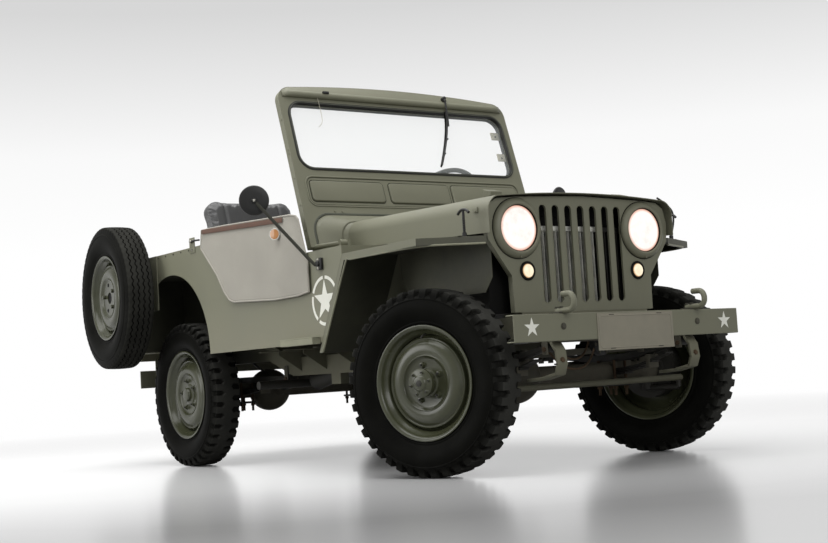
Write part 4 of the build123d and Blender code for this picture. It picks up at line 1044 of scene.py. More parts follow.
class ARMYCAR_OT_bumpers(PieceOperator, bpy.types.Operator):
    """Front bumper with stars, blank plate and tow hooks, and the rear bumperettes"""

    bl_idname = "army_car.bumpers"
    bl_label = "Bumpers and hooks"

    def make(self, context):
        softened("bumper_bar", "front_bumper", "chassis", "olive_paint", width=0.003, steps=3)
        softened("bumperettes", "rear_bumper", "chassis", "olive_paint", width=0.002)
        softened("hooks", "tow_hooks", "chassis", "olive_paint", width=0.001)
        shape = bmesh.new()
        for side in (RIGHT, LEFT):
            join(shape, bolt((BUMPER_FACE_X, side * 0.350, 0.538), (1, 0, 0), 0.010, 0.005))
            for x in (1.588, 1.612):
                join(shape, bolt((x, side * 0.341, 0.606), UP, 0.008, 0.006))
            join(shape, block((1.572, side * 0.341 - 0.026, 0.585), (1.626, side * 0.341 + 0.026, 0.592), 0.002))
        piece("bumper_bolts", shape, "chassis", ["chassis_paint"])
        shape = bmesh.new()
        for y in (-0.500, 0.505):
            star = star_shape(context.scene.army_car_sizes.star_radius)
            join(shape, star, 0, Matrix.Translation((BUMPER_FACE_X, y, 0.537)))
        piece("bumper_stars", shape, "chassis", ["marking_paint"])
        self.plate()

    def plate(self):
        """Blank plate with a pressed border and four slots."""
        shape = copied("front_plate")
        spot = Matrix(((0, 0, 1, PLATE_FACE_X), (1, 0, 0, 0.013), (0, 1, 0, 0), (0, 0, 0, 1)))
        join(shape, loop_bar(0.186, 0.454, 0.569, 0.010, 0.005, -0.0005, 0.0016, 0.0015), 0, spot)
        # The four slots are thin dark pads on the plate's face: painted shade for the openings
        for u in (-0.125, 0.125):
            for v in (0.450, 0.573):
                slot = raised_pad(0.014, v - 0.003, v + 0.003, 0.003, 0.0008, 0.0003)
                join(shape, slot, 1, spot @ Matrix.Translation((u, 0, 0)))
        piece(
            "blank_plate", shape, "chassis", ["plate_paint", "lamp_dark"], stands_for=["front_plate"],
            bevel=(0.0008, 2),
        )


class ARMYCAR_OT_road_tyres(PieceOperator, bpy.types.Operator):
    """Four road tyres with staggered bar lugs"""

    bl_idname = "army_car.road_tyres"
    bl_label = "Road tyres"

    wall = (
        (0.0530, 0.2040), (0.0560, 0.2140), (0.0575, 0.2230), (0.0600, 0.2265), (0.0618, 0.2300), (0.0605, 0.2345),
        (0.0650, 0.2420), (0.0710, 0.2520), (0.0755, 0.2630), (0.0785, 0.2750), (0.0800, 0.2870), (0.0798, 0.2980),
        (0.0785, 0.3080), (0.0768, 0.3150), (0.0785, 0.3175), (0.0782, 0.3205), (0.0752, 0.3235),
    )
    shoulder = ((0.0745, 0.3280), (0.0735, 0.3330), (0.0724, 0.3380), (0.0712, 0.3430), (0.0698, 0.3475),
                (0.0680, 0.3515), (0.0655, 0.3550), (0.0625, 0.3572))

    def make(self, context):
        sizes = context.scene.army_car_sizes
        for end in ("front", "rear"):
            for side, word in SIDES:
                shape = self.lug_tyre(sizes.lugs, sizes.slot_depth)
                bmesh.ops.transform(shape, matrix=wheel_place(end, side), verts=shape.verts)
                piece(
                    f"bar_tyre_{end}_{word}", shape, f"wheel_{end}_{word}", ["tyre_rubber"],
                    stands_for=[f"tyre_{end}_{word}"], smooth=32,
                )

    def lug_tyre(self, lugs, depth):
        """One tyre: the section is spun, and slots are pressed in between the lugs."""
        across = [0.0585 - 0.0045 * k for k in range(27)]
        crown = [(o, TYRE_RADIUS - CROWN_DROP * (o / 0.06) ** 2) for o in across]
        half = list(self.wall) + list(self.shoulder)
        section = half + crown + [(-o, r) for o, r in reversed(half)]
        rules = {}
        for k, (offset, radius) in enumerate(section):
            before, after = section[k - 1], section[(k + 1) % len(section)]
            inward = Vector((before[1] - after[1], after[0] - before[0], 0)).normalized()
            fade = min(1.0, max(0.0, (radius - WALL_FOOT) / FADE_DEPTH))
            rules[(round(offset, 5), round(radius, 5))] = (inward, depth * (0.55 * fade + 0.45 * fade ** 3))
        part = turned(section, lugs * 10)
        worn = part.verts.layers.float.new("tread")
        for vert in part.verts:
            offset, radius = vert.co.x, hypot(vert.co.y, vert.co.z)
            inward, press = rules[(round(offset, 5), round(radius, 5))]
            vert[worn] = 1.0 if radius > 0.3565 else max(0.0, (radius - 0.335) / 0.03) * 0.6
            if press <= 0:
                continue
            turn = atan2(vert.co.z, vert.co.y)
            phase = (turn * lugs / (2 * pi) + (0.5 if offset > 0 else 0.0)) % 1.0
            away = abs(phase - 0.5)
            if away > WALL_SHARE:
                continue
            reach = SLOT_END + SLOT_CURVE * (1 - sqrt(max(0.0, 1 - min(1, away / END_SHARE) ** 2)))
            if abs(offset) < reach:
                continue
            if away > SLOT_SHARE:
                turn += (WALL_LEAN if phase < 0.5 else -WALL_LEAN) * 2 * pi / lugs
                vert.co = Vector((offset, radius * cos(turn), radius * sin(turn)))
                continue
            moved = Vector((offset, radius, 0)) + inward * press
            vert.co = Vector((moved.x, moved.y * cos(turn), moved.y * sin(turn)))
            vert[worn] = 0.25
        return part


class ARMYCAR_OT_wheels(PieceOperator, bpy.types.Operator):
    """Steel rims with domed discs, nuts, hubs and drums"""

    bl_idname = "army_car.wheels"
    bl_label = "Wheels"

    barrel = mirrored(
        [
            (0.0590, 0.2195), (0.0612, 0.2212), (0.0632, 0.2205), (0.0640, 0.2180), (0.0632, 0.2135), (0.0600, 0.2080),
            (0.0560, 0.2045), (0.0500, 0.2020), (0.0430, 0.1995), (0.0340, 0.1900), (0.0270, 0.1850), (0.0180, 0.1825),
        ]
    ) + mirrored(
        [
            (-0.0570, 0.2130), (-0.0530, 0.2075), (-0.0420, 0.2035),
            (-0.0320, 0.1940), (-0.0250, 0.1890), (-0.0180, 0.1870),
        ]
    )
    disc = [
        (0.0080, 0.1825), (0.0125, 0.1812), (0.0155, 0.1790), (0.0170, 0.1762), (0.0190, 0.1748), (0.0290, 0.1736),
        (0.0350, 0.1715), (0.0368, 0.1686), (0.0355, 0.1656), (0.0335, 0.1632), (0.0345, 0.1606), (0.0405, 0.1556),
        (0.0455, 0.1450), (0.0484, 0.1330), (0.0488, 0.1210), (0.0476, 0.1120), (0.0466, 0.1080), (0.0486, 0.1062),
        (0.0492, 0.1042), (0.0478, 0.1022), (0.0430, 0.0985), (0.0390, 0.0930), (0.0380, 0.0870), (0.0380, 0.0540),
        (0.0330, 0.0540), (0.0330, 0.0890), (0.0340, 0.0960), (0.0380, 0.1010), (0.0410, 0.1050), (0.0420, 0.1180),
        (0.0425, 0.1320), (0.0400, 0.1450), (0.0350, 0.1560), (0.0270, 0.1650), (0.0170, 0.1715), (0.0110, 0.1760),
        (0.0060, 0.1790),
    ]

    def make(self, context):
        for end in ("front", "rear"):
            for side, word in SIDES:
                shape = bmesh.new()
                join(shape, turned(self.barrel, 96), 0)
                join(shape, turned(self.disc, 96), 0)
                self.hub(shape, end)
                bmesh.ops.transform(shape, matrix=wheel_place(end, side), verts=shape.verts)
                piece(
                    f"wheel_disc_{end}_{word}", shape, f"wheel_{end}_{word}",
                    ["wheel_paint", "oily_iron_and_shade", "bright_steel"], stands_for=[f"rim_{end}_{word}"],
                )

    def nuts(self, shape, count, ring, seat, radius, height, start=0.0):
        """Wheel nuts in a ring, with their studs."""
        for k in range(count):
            turn = start + 2 * pi * k / count
            at = Vector((seat, ring * cos(turn), ring * sin(turn)))
            out = Vector((1, 0, 0))
            join(shape, drum(at, at + out * height * 0.4, radius * 1.25, radius, 20), 0)
            join(shape, drum(at, at + out * height, radius, radius * 0.92, 6, soft=0.001), 0)
            join(shape, drum(at + out * height, at + out * (height + 0.007), radius * 0.45, sides=12, soft=0.001), 1)

    def hub(self, shape, end):
        """Hub, its bolts, and the brake drum behind the disc."""
        back = [(0.016, HUB_BORE), (0.034, HUB_BORE), (0.034, 0.0560), (0.030, 0.0980), (0.022, 0.127), (-0.044, 0.127),
                (-0.044, 0.119), (0.016, 0.119)]
        join(shape, turned(back, 64), 1)
        if end == "front":
            cap = [
                (0.034, HUB_BORE), (0.058, HUB_BORE), (0.058, 0.0), (0.0905, 0.0), (0.0910, 0.018), (0.0895, 0.026),
                (0.0860, 0.0290), (0.0840, 0.0330), (0.0835, 0.0520), (0.0815, 0.0550), (0.0700, 0.0555),
                (0.0680, 0.0530), (0.0545, 0.0500), (0.0440, 0.0480), (0.0410, 0.0540), (0.0340, 0.0560),
            ]
            join(shape, turned(cap, 48), 0)
            self.nuts(shape, 6, 0.0430, 0.0838, 0.0062, 0.0045, 0.2)
            join(shape, drum((0.0905, 0, 0), (0.0935, 0, 0), 0.013, sides=6, soft=0.001), 1)
        else:
            cap = [
                (0.034, HUB_BORE), (0.056, HUB_BORE), (0.056, 0.0), (0.0610, 0.0), (0.0612, 0.016), (0.0590, 0.0300),
                (0.0540, 0.0340), (0.0440, 0.0350), (0.0420, 0.0470), (0.0400, 0.0540), (0.0340, 0.0560),
            ]
            join(shape, turned(cap, 48), 0)
        self.nuts(shape, 5, 0.0700, 0.0380, 0.0105, 0.0130, 0.5)
        join(shape, bent([(0.028, 0.0, 0.186), (0.050, 0.0, 0.181), (0.060, 0.0, 0.170)], 0.004), 1)


class ARMYCAR_OT_spare_wheel(PieceOperator, bpy.types.Operator):
    """Spare wheel with a ribbed tyre, its rim and carrier"""

    bl_idname = "army_car.spare_wheel"
    bl_label = "Spare wheel"

    def make(self, context):
        place = basis(SPARE_CENTRE, SPARE_AXIS)
        shape = self.ribbed_tyre(context.scene.army_car_sizes.spare_groove)
        bmesh.ops.transform(shape, matrix=place, verts=shape.verts)
        piece("ribbed_tyre", shape, "chassis", ["spare_rubber"], stands_for=["spare_tyre"], smooth=32)
        shape = bmesh.new()
        disc = [(o, max(r, 0.030)) for o, r in ARMYCAR_OT_wheels.disc]
        disc = [(o, 0.030 if r == 0.054 else r) for o, r in disc]
        join(shape, turned(ARMYCAR_OT_wheels.barrel, 96), 0)
        join(shape, turned(disc, 96), 0)
        # Two of the stud holes and the narrowed centre bore are closed by thin dark discs: painted shade for the open
        # holes
        for k in range(5):
            turn = 0.5 + 2 * pi * k / 5
            at = Vector((0.0381, 0.070 * cos(turn), 0.070 * sin(turn)))
            if k % 2 == 0:
                join(shape, drum(at, at + Vector((0.014, 0, 0)), 0.0115, 0.0105, 6, soft=0.001), 0)
            else:
                join(shape, drum(at, at + Vector((0.0012, 0, 0)), 0.010, sides=20), 1)
        join(shape, drum((0.030, 0, 0), (0.0335, 0, 0), 0.0298, sides=24), 1)
        bmesh.ops.transform(shape, matrix=place, verts=shape.verts)
        piece("spare_wheel_disc", shape, "chassis", ["wheel_paint", "lamp_dark"], stands_for=["spare_rim"])
        softened("spare_carrier", "spare_bracket", "chassis", "olive_paint", width=0.003)

    def ribbed_tyre(self, depth):
        """Road tread of straight ribs parted by zigzag grooves."""
        grow = (SPARE_RADIUS - TYRE_BORE) / (TYRE_RADIUS - TYRE_BORE)
        crown = []
        for middle in (0.042, 0.014, -0.014, -0.042):
            crown += [
                (middle + 0.013, 0), (middle + 0.0036, 0), (middle + 0.0026, 1), (middle - 0.0026, 1),
                (middle - 0.0036, 0)
            ]
        crown.append((-0.055, 0))
        half = list(ARMYCAR_OT_road_tyres.wall) + list(ARMYCAR_OT_road_tyres.shoulder)
        tops = [(o, TYRE_RADIUS - CROWN_DROP * (o / 0.06) ** 2, deep) for o, deep in crown]
        section = [(o, TYRE_BORE + (r - TYRE_BORE) * grow) for o, r in half]
        section += [(o, TYRE_BORE + (r - TYRE_BORE) * grow - deep * depth) for o, r, deep in tops]
        section += [(-o, TYRE_BORE + (r - TYRE_BORE) * grow) for o, r in reversed(half)]
        part = turned(section, SPARE_PITCHES * 4)
        worn = part.verts.layers.float.new("tread")
        for vert in part.verts:
            offset, radius = vert.co.x, hypot(vert.co.y, vert.co.z)
            vert[worn] = 1.0 if radius > 0.366 else 0.1
            turn = atan2(vert.co.z, vert.co.y)
            step = round(turn * SPARE_PITCHES * 4 / (2 * pi)) % 4
            if abs(offset) < 0.054 and radius > 0.350:
                vert.co.x = offset + (ZIGZAG if step in (0, 1) else -ZIGZAG)
            elif 0.055 <= abs(offset) < 0.0725 and radius > 0.352 and step == 2:
                shrink = (radius - 0.0045) / radius
                vert.co.y *= shrink
                vert.co.z *= shrink
        return part


class ARMYCAR_OT_doors(PieceOperator, bpy.types.Operator):
    """Canvas doors with piping, straps and reflectors"""

    bl_idname = "army_car.doors"
    bl_label = "Canvas doors"

    top = (
        (-0.519, 1.080), (-0.508, 1.146), (-0.300, 1.141), (0.345, 1.108), (0.396, 1.098), (0.414, 1.082),
        (0.474, 0.894)
    )
    foot = (
        (-0.523, 1.060), (-0.444, 0.987), (-0.367, 0.917), (-0.300, 0.830), (-0.250, 0.790), (-0.208, 0.777),
        (0.180, 0.757), (0.380, 0.758), (0.474, 0.768)
    )

    def height(self, line, x):
        """Height of an edge line at x."""
        for (x0, z0), (x1, z1) in zip(line, line[1:]):
            if x <= x1:
                return z0 + (z1 - z0) * max(0, x - x0) / (x1 - x0)
        return line[-1][1]

    def make(self, context):
        for side, word in SIDES:
            self.door(side, word)

    def door(self, side, word):
        """One canvas door."""
        body = f"door_{word}"
        low_x, high_x = -0.518, 0.474

        def place_point(across, up):
            x = low_x + (high_x - low_x) * across
            low, high = self.height(self.foot, x), self.height(self.top, x)
            z = low + (high - low) * up
            edge = min(across, 1 - across, up, 1 - up)
            slack = 0.0045 * min(1, edge * 6) * noise.noise(Vector((x * 3.1, z * 4.0, side * 2)))
            crease = 0.0022 * min(1, edge * 8) * noise.noise(Vector((x * 11 + z * 9, z * 5, 5)))
            front = max(0.0, (x - 0.12) / 0.35) * min(1, edge * 9)
            crease += 0.0026 * front * sin(26 * (x + 0.9 * z) + 2.5 * noise.noise(Vector((x * 4, z * 4, 9))))
            return Vector((x, side * (CANVAS_Y + slack + crease), z))

        shape = mapped_sheet(90, 36, place_point)
        area = sum(face.calc_area() for face in shape.faces)
        canvas = piece(
            f"canvas_{word}", shape, body, ["door_canvas"], stands_for=[body], thick=0.002, smooth=80
        )
        trim = bmesh.new()
        y = side * CANVAS_Y
        outline = [(x, y, z) for x, z in self.top] + [(x, y, z) for x, z in reversed(self.foot)]
        outline[0:1] = []
        join(trim, bent(outline, 0.0042, order=2, cyclic=True, sides=3), 0)
        piping = piece(f"door_piping_{word}", trim, body, ["door_canvas"])
        self.fittings(side, word)

    def fittings(self, side, word):
        """Brown strap along the top and a round reflector."""
        shape = bmesh.new()
        y = side * 0.7400
        strap = block((-0.495, min(y, y + side * 0.0022), -0.011), (0.290, max(y, y + side * 0.0022), 0.011), 0.0008)
        slope = Matrix.Translation((0, 0, 1.110)) @ Matrix.Rotation(radians(3.1), 4, "Y")
        join(shape, strap, 0, slope)
        reflector = [(0, 0.0), (0, 0.026), (0.002, 0.027), (0.0035, 0.026), (0.0035, 0.0)]
        at = (0.236, side * 0.7500, 1.039)
        facing = (0.50, side * 0.866, 0)
        join(shape, drum((0.236, side * 0.735, 1.039), at, 0.010, sides=16), 1)
        join(shape, turned(reflector, 32), 1, basis(at, facing))
        piece(f"door_strap_{word}", shape, f"door_{word}", ["strap_brown", "bright_steel"])
        # The reflector's lens glows as painted light
        glass = lens([(0, 0.0), (0, 0.0225), (0.0025, 0.021), (0.0038, 0.012), (0.0042, 0.0)], 32)
        shape = bmesh.new()
        join(shape, glass, 0, basis(Vector(at) + Vector(facing) * 0.003, facing))
        piece(f"door_reflector_{word}", shape, f"door_{word}", ["reflector_painted_glow"])


class ARMYCAR_OT_seats(PieceOperator, bpy.types.Operator):
    """Padded seats in dark vinyl on painted boxes"""

    bl_idname = "army_car.seats"
    bl_label = "Seats"

    def make(self, context):
        softened("seat_boxes", "seat_frames", "chassis", "olive_paint", width=0.006)
        for node, y in (("seat_driver", 0.430), ("seat_passenger", -0.462)):
            back_place = Matrix.Translation((-0.497, y, 1.096)) @ Matrix.Rotation(radians(-16), 4, "Y")
            cushion = self.pad(f"{node}_cushion", (0.195, 0.228, 0.040), Matrix.Translation((-0.262, y, 0.848)), 0.050)
            back = self.pad(f"{node}_back", (0.036, 0.240, 0.205), back_place, 0.060)
            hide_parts(node)
            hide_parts(node)

    def pad(self, name, half, place, corner):
        """One padded block, blown up as sewn cloth."""
        shape = bmesh.new()
        bmesh.ops.create_cube(shape, size=2, matrix=Matrix.Diagonal((*half, 1)))
        thin = min(range(3), key=lambda k: half[k])
        uprights = [e for e in shape.edges if abs(e.verts[0].co[thin] - e.verts[1].co[thin]) > 1e-6]
        rounded(shape, uprights, corner, 6, clamp=False)
        rims = [
            e for e in shape.edges if abs(e.verts[0].co[thin] - e.verts[1].co[thin]) < 1e-6 and e.calc_face_angle(0) > 1
        ]
        rounded(shape, rims, 0.016, 3, clamp=False)
        bmesh.ops.transform(shape, matrix=place, verts=shape.verts)
        made = piece(name, shape, "chassis", ["seat_vinyl"], smooth=60)
        remesh = made.modifiers.new("skin", "REMESH")
        remesh.mode, remesh.voxel_size = "VOXEL", PAD_VOXEL
        self.bake(made)
        start = [v.co.copy() for v in made.data.vertices]
        cloth = made.modifiers.new("cloth", "CLOTH")
        cloth.settings.use_pressure = True
        cloth.settings.uniform_pressure_force = CLOTH_PRESSURE
        cloth.settings.effector_weights.gravity = 0
        cloth.settings.tension_stiffness = CLOTH_STIFFNESS
        cloth.settings.compression_stiffness = CLOTH_STIFFNESS
        scene = bpy.context.scene
        for step in range(1, CLOTH_FRAMES + 1):
            scene.frame_set(step)
        self.bake(made)
        for vert, old in zip(made.data.vertices, start):
            move = vert.co - old
            if move.length > PAD_SWELL:
                vert.co = old + move.normalized() * PAD_SWELL
        scene.frame_set(1)
        self.channels(made, half, place, thin)
        smoother = made.modifiers.new("smooth", "SUBSURF")
        smoother.levels = smoother.render_levels = 1
        for polygon in made.data.polygons:
            polygon.use_smooth = True
        return made

    def bake(self, made):
        """Apply what the modifiers make of a piece."""
        bpy.context.view_layer.update()
        graph = bpy.context.evaluated_depsgraph_get()
        mesh = bpy.data.meshes.new_from_object(made.evaluated_get(graph))
        made.modifiers.clear()
        made.data = mesh

    def channels(self, made, half, place, thin):
        """Press two sewn seams into the pad."""
        back = place.inverted()
        for vert in made.data.vertices:
            at = back @ vert.co
            for line in (-0.62, 0.62):
                gap = abs(at.y - line * half[1])
                if gap < 0.02:
                    at[thin] *= 1 - 0.16 * max(0, 1 - gap / 0.012)
            vert.co = place @ at


class ARMYCAR_OT_cab(PieceOperator, bpy.types.Operator):
    """Steering wheel and column, levers and pedals"""

    bl_idname = "army_car.cab"
    bl_label = "Cab controls"

    def make(self, context):
        softened("steering_rim", "steering_wheel", "steering_wheel", "grip_black", width=0.001)
        softened("column", "steering_column", "chassis", "olive_paint", width=0.003)
        softened("levers", "cab_controls", "chassis", "black_trim", width=0.002)


class ARMYCAR_OT_mirrors(PieceOperator, bpy.types.Operator):
    """Round mirrors on bent arms, with their brackets"""

    bl_idname = "army_car.mirrors"
    bl_label = "Mirrors"

    def make(self, context):
        shape = bmesh.new()
        rows = (
            (RIGHT, [(0.566, -0.732, 0.875), (0.556, -0.750, 0.872), (0.395, -0.930, 1.160)], (0.87, -0.47, -0.13)),
            (
                LEFT,
                [
                    (0.566, 0.732, 0.875), (0.5237, 0.7596, 1.1004), (0.520, 0.762, 1.120), (0.5038, 0.7703, 1.1267),
                    (0.250, 0.900, 1.232),
                ],
                (0.95, 0.25, -0.1),
            ),
        )
        back = [
            (-0.0120, 0.0), (-0.0120, 0.0600), (-0.0085, 0.0632), (-0.0050, 0.0635), (0.0000, 0.0610), (0.0030, 0.0520),
            (0.0040, 0.0350), (0.0040, 0.0),
        ]
        glass = [(-0.0135, 0.0), (-0.0135, 0.0575), (-0.0115, 0.0585), (-0.0110, 0.0)]
        for side, route, facing in rows:
            place = basis(route[-1], facing)
            join(shape, turned(back, 48), 0, place)
            join(shape, turned(glass, 48), 1, place)
            join(shape, bent(route, 0.0075 if side == RIGHT else 0.0058, order=2 if side == RIGHT else 3), 3)
            join(shape, drum(place @ Vector((0.003, 0, 0)), place @ Vector((0.012, 0, 0)), 0.014, 0.011, soft=0.002), 0)
            join(shape, drum(place @ Vector((0.011, 0, 0)), place @ Vector((0.019, 0, 0)), 0.007, 0.005, soft=0.002), 2)
            low, high = flank(side, TUB_Y, TUB_Y + 0.014)
            join(shape, block((0.548, low, 0.850), (0.584, high, 0.900), 0.003), 0)
            for z in (0.858, 0.892):
                join(shape, bolt((0.566, side * (TUB_Y + 0.014), z), (0, side, 0), 0.006, 0.005), 2)
            join(shape, drum((0.566, side * 0.728, 0.875), (0.566, side * 0.748, 0.875), 0.011, soft=0.002), 0)
        piece(
            "mirror_pair", shape, "chassis",
            ["black_trim", "mirror_silver", "bright_steel", "chassis_paint"], stands_for=["mirrors"]
        )


class ARMYCAR_OT_underside(PieceOperator, bpy.types.Operator):
    """Frame, axles, springs, shafts, engine and exhaust"""

    bl_idname = "army_car.underside"
    bl_label = "Chassis and axles"

    def make(self, context):
        rows = (
            ("chassis_frame", "frame", "chassis", "paint", "rail_paint", 0.002),
            ("engine_block", "engine", "chassis", "dark_metal", "oily_iron_and_shade", 0.012),
            ("gear_cases", "gearbox", "chassis", "dark_metal", "oily_iron_and_shade", 0.010),
            ("shafts", "prop_shafts", "chassis", "dark_metal", "oily_iron_and_shade", 0.001),
            ("exhaust_pipe", "exhaust", "chassis", "dark_metal", "oily_iron_and_shade", 0.001),
            ("axle_front", "front_axle", "chassis", "dark_metal", "chassis_paint", 0.002),
            ("axle_rear", "rear_axle", "chassis", "dark_metal", "chassis_paint", 0.002),
            ("dampers", "shock_absorbers", "chassis", "dark_metal", "oily_iron_and_shade", 0.003),
            ("springs", "leaf_springs", "chassis", "dark_metal", "oily_iron_and_shade", 0.002),
            ("track_rod", "tie_rod", "tie_rod", "dark_metal", "rail_paint", 0.001),
            ("steer_knuckle_right", "knuckle_right", "knuckle_right", "dark_metal", "oily_iron_and_shade", 0.001),
            ("steer_knuckle_left", "knuckle_left", "knuckle_left", "dark_metal", "oily_iron_and_shade", 0.001),
        )
        for name, node, body, slot, finish, width in rows:
            softened(name, node, body, finish, width)
        self.spring_fittings()
        self.outriggers()
        self.pipes()

    def spring_fittings(self):
        """Leaves, clips, bolts and shackle plates of the four springs."""
        shape = bmesh.new()
        rows = ((AXLE_X["front"], 1.545, 0.458, 0.700, 0.428), (AXLE_X["rear"], -0.390, 0.411, -1.430, 0.462))
        for axle_x, front_x, front_z, back_x, back_z in rows:
            for side in (RIGHT, LEFT):
                y = side * SPRING_Y
                for k in range(1, 5):
                    reach = 1 - 0.19 * k
                    line = []
                    for step in range(9):
                        share = step / 4 - 1
                        x = axle_x + share * reach * (front_x - axle_x if share > 0 else axle_x - back_x)
                        end_z = front_z if share > 0 else back_z
                        line.append(
                            (x, y, SPRING_SEAT_Z - LEAF_PITCH * k + (end_z - SPRING_SEAT_Z) * (share * reach) ** 2)
                        )
                    for low, high in zip(line, line[1:]):
                        middle, way = (Vector(low) + Vector(high)) / 2, Vector(high) - Vector(low)
                        leaf = block(
                            (-way.length / 2 - 0.001, -0.0225, -0.003), (way.length / 2 + 0.001, 0.0225, 0.003), 0.0008,
                            1
                        )
                        turn = Matrix.Rotation(-atan2(way.z, way.x), 4, "Y")
                        join(shape, leaf, 0, Matrix.Translation(middle) @ turn)
                for x in (axle_x - 0.048, axle_x + 0.048):
                    for across in (-0.031, 0.031):
                        join(shape, drum((x, y + across, 0.258), (x, y + across, 0.405), 0.0062, sides=12), 1)
                        join(shape, drum((x, y + across, 0.284), (x, y + across, 0.296), 0.011, sides=6, soft=0.001), 1)
                join(shape, block((axle_x - 0.066, y - 0.042, 0.296), (axle_x + 0.066, y + 0.042, 0.306), 0.003), 0)
                for x in (axle_x - 0.24, axle_x + 0.24):
                    share = (x - axle_x) / ((front_x - axle_x) if x > axle_x else (back_x - axle_x))
                    z = SPRING_SEAT_Z + ((front_z if x > axle_x else back_z) - SPRING_SEAT_Z) * share ** 2
                    join(shape, block((x - 0.011, y - 0.027, z - 0.036), (x + 0.011, y + 0.027, z + 0.019), 0.003), 2)
                for x, z in ((front_x, front_z), (back_x, back_z)):
                    for across in (-0.030, 0.026):
                        plate = block(
                            (x - 0.017, y + across, z - 0.020), (x + 0.017, y + across + 0.005, z + 0.062), 0.002
                        )
                        join(shape, plate, 2)
                    join(shape, drum((x, y - 0.036, z), (x, y + 0.036, z), 0.009, sides=12, soft=0.001), 1)
        piece("spring_fittings", shape, "chassis", ["oily_iron_and_shade", "rusty_iron", "chassis_paint"])

    def outriggers(self):
        """Sloping gussets from the frame rails out to the tub."""
        shape = bmesh.new()
        for side in (RIGHT, LEFT):
            for x in (-0.250, -0.020, 0.250):
                gusset = panel_face(0.060, -0.040, 0.058, 0)
                bmesh.ops.translate(
                    gusset, verts=[v for v in gusset.verts if v.co.x > 0 and v.co.y < 0], vec=(0, 0.078, 0)
                )
                lifted(gusset, (0, 0, 0.004))
                bmesh.ops.recalc_face_normals(gusset, faces=gusset.faces)
                spot = Matrix(((0, 0, 1, x), (side, 0, 0, side * 0.4305), (0, 1, 0, 0.483), (0, 0, 0, 1)))
                join(shape, gusset, 0, spot)
                low, high = flank(side, 0.375, 0.598)
                join(shape, block((x, low, 0.538), (x + 0.030, high, 0.542), 0.001))
        bmesh.ops.recalc_face_normals(shape, faces=shape.faces)
        piece("outriggers", shape, "chassis", ["rail_paint"])

    def pipes(self):
        """Brake hoses, drag link, pulley, cross tube and straps under the nose."""
        shape = bmesh.new()
        hoses = (
            [
                (1.46, -0.330, 0.500), (1.45, -0.260, 0.430), (1.45, -0.222, 0.395), (1.45, -0.160, 0.372),
                (1.44, -0.060, 0.385), (1.42, -0.010, 0.470)
            ],
            [
                (1.47, -0.300, 0.490), (1.46, -0.250, 0.440), (1.45, -0.150, 0.400), (1.45, -0.090, 0.430),
                (1.44, -0.060, 0.490)
            ],
            [(1.30, 0.30, 0.50), (1.26, 0.38, 0.47), (1.20, 0.44, 0.44), (1.16, 0.47, 0.40)],
            [(1.30, -0.30, 0.50), (1.26, -0.38, 0.47), (1.20, -0.44, 0.44), (1.16, -0.47, 0.40)],
            [(-0.86, -0.30, 0.50), (-0.87, -0.24, 0.45), (-0.89, -0.16, 0.42)],
        )
        for k, route in enumerate(hoses):
            join(shape, bent(route, 0.0042 if k < 2 else 0.0055, order=4), 1 if k < 2 else 0)
        join(shape, drum((1.33, -0.30, 0.440), (1.33, 0.330, 0.452), 0.013, sides=20, soft=0.002), 2)
        for y, z in ((-0.30, 0.440), (0.330, 0.452)):
            join(shape, drum((1.33, y, z - 0.022), (1.33, y, z + 0.024), 0.019, 0.014, sides=20, soft=0.003), 2)
        join(shape, drum((1.40, 0.020, 0.470), (1.43, 0.020, 0.470), 0.045, sides=40, soft=0.004), 0)
        for turn in range(6):
            way = pi / 3 * turn
            join(shape, bolt((1.43, 0.020 + 0.036 * cos(way), 0.470 + 0.036 * sin(way)), (1, 0, 0), 0.005, 0.004), 2)
        for side in (RIGHT, LEFT):
            y = side * SPRING_Y
            strap = [(1.572, 0.482), (1.596, 0.450), (1.603, 0.400), (1.588, 0.366), (1.510, 0.351), (1.425, 0.346)]
            for (x0, z0), (x1, z1) in zip(strap, strap[1:]):
                way = Vector((x1 - x0, 0, z1 - z0))
                bar = block((-way.length / 2 - 0.003, -0.024, -0.006), (way.length / 2 + 0.003, 0.024, 0.006), 0.002)
                turn = Matrix.Rotation(-atan2(way.z, way.x), 4, "Y")
                join(shape, bar, 3, Matrix.Translation(((x0 + x1) / 2, y, (z0 + z1) / 2)) @ turn)
            join(shape, bolt((1.606, y, 0.415), (1, 0, 0), 0.009, 0.007), 1)
        join(shape, drum((1.47, -0.325, 0.508), (1.47, 0.325, 0.508), 0.026, sides=24), 2)
        piece("nose_pipes", shape, "chassis", ["black_trim", "rusty_iron", "chassis_paint", "rail_paint"])


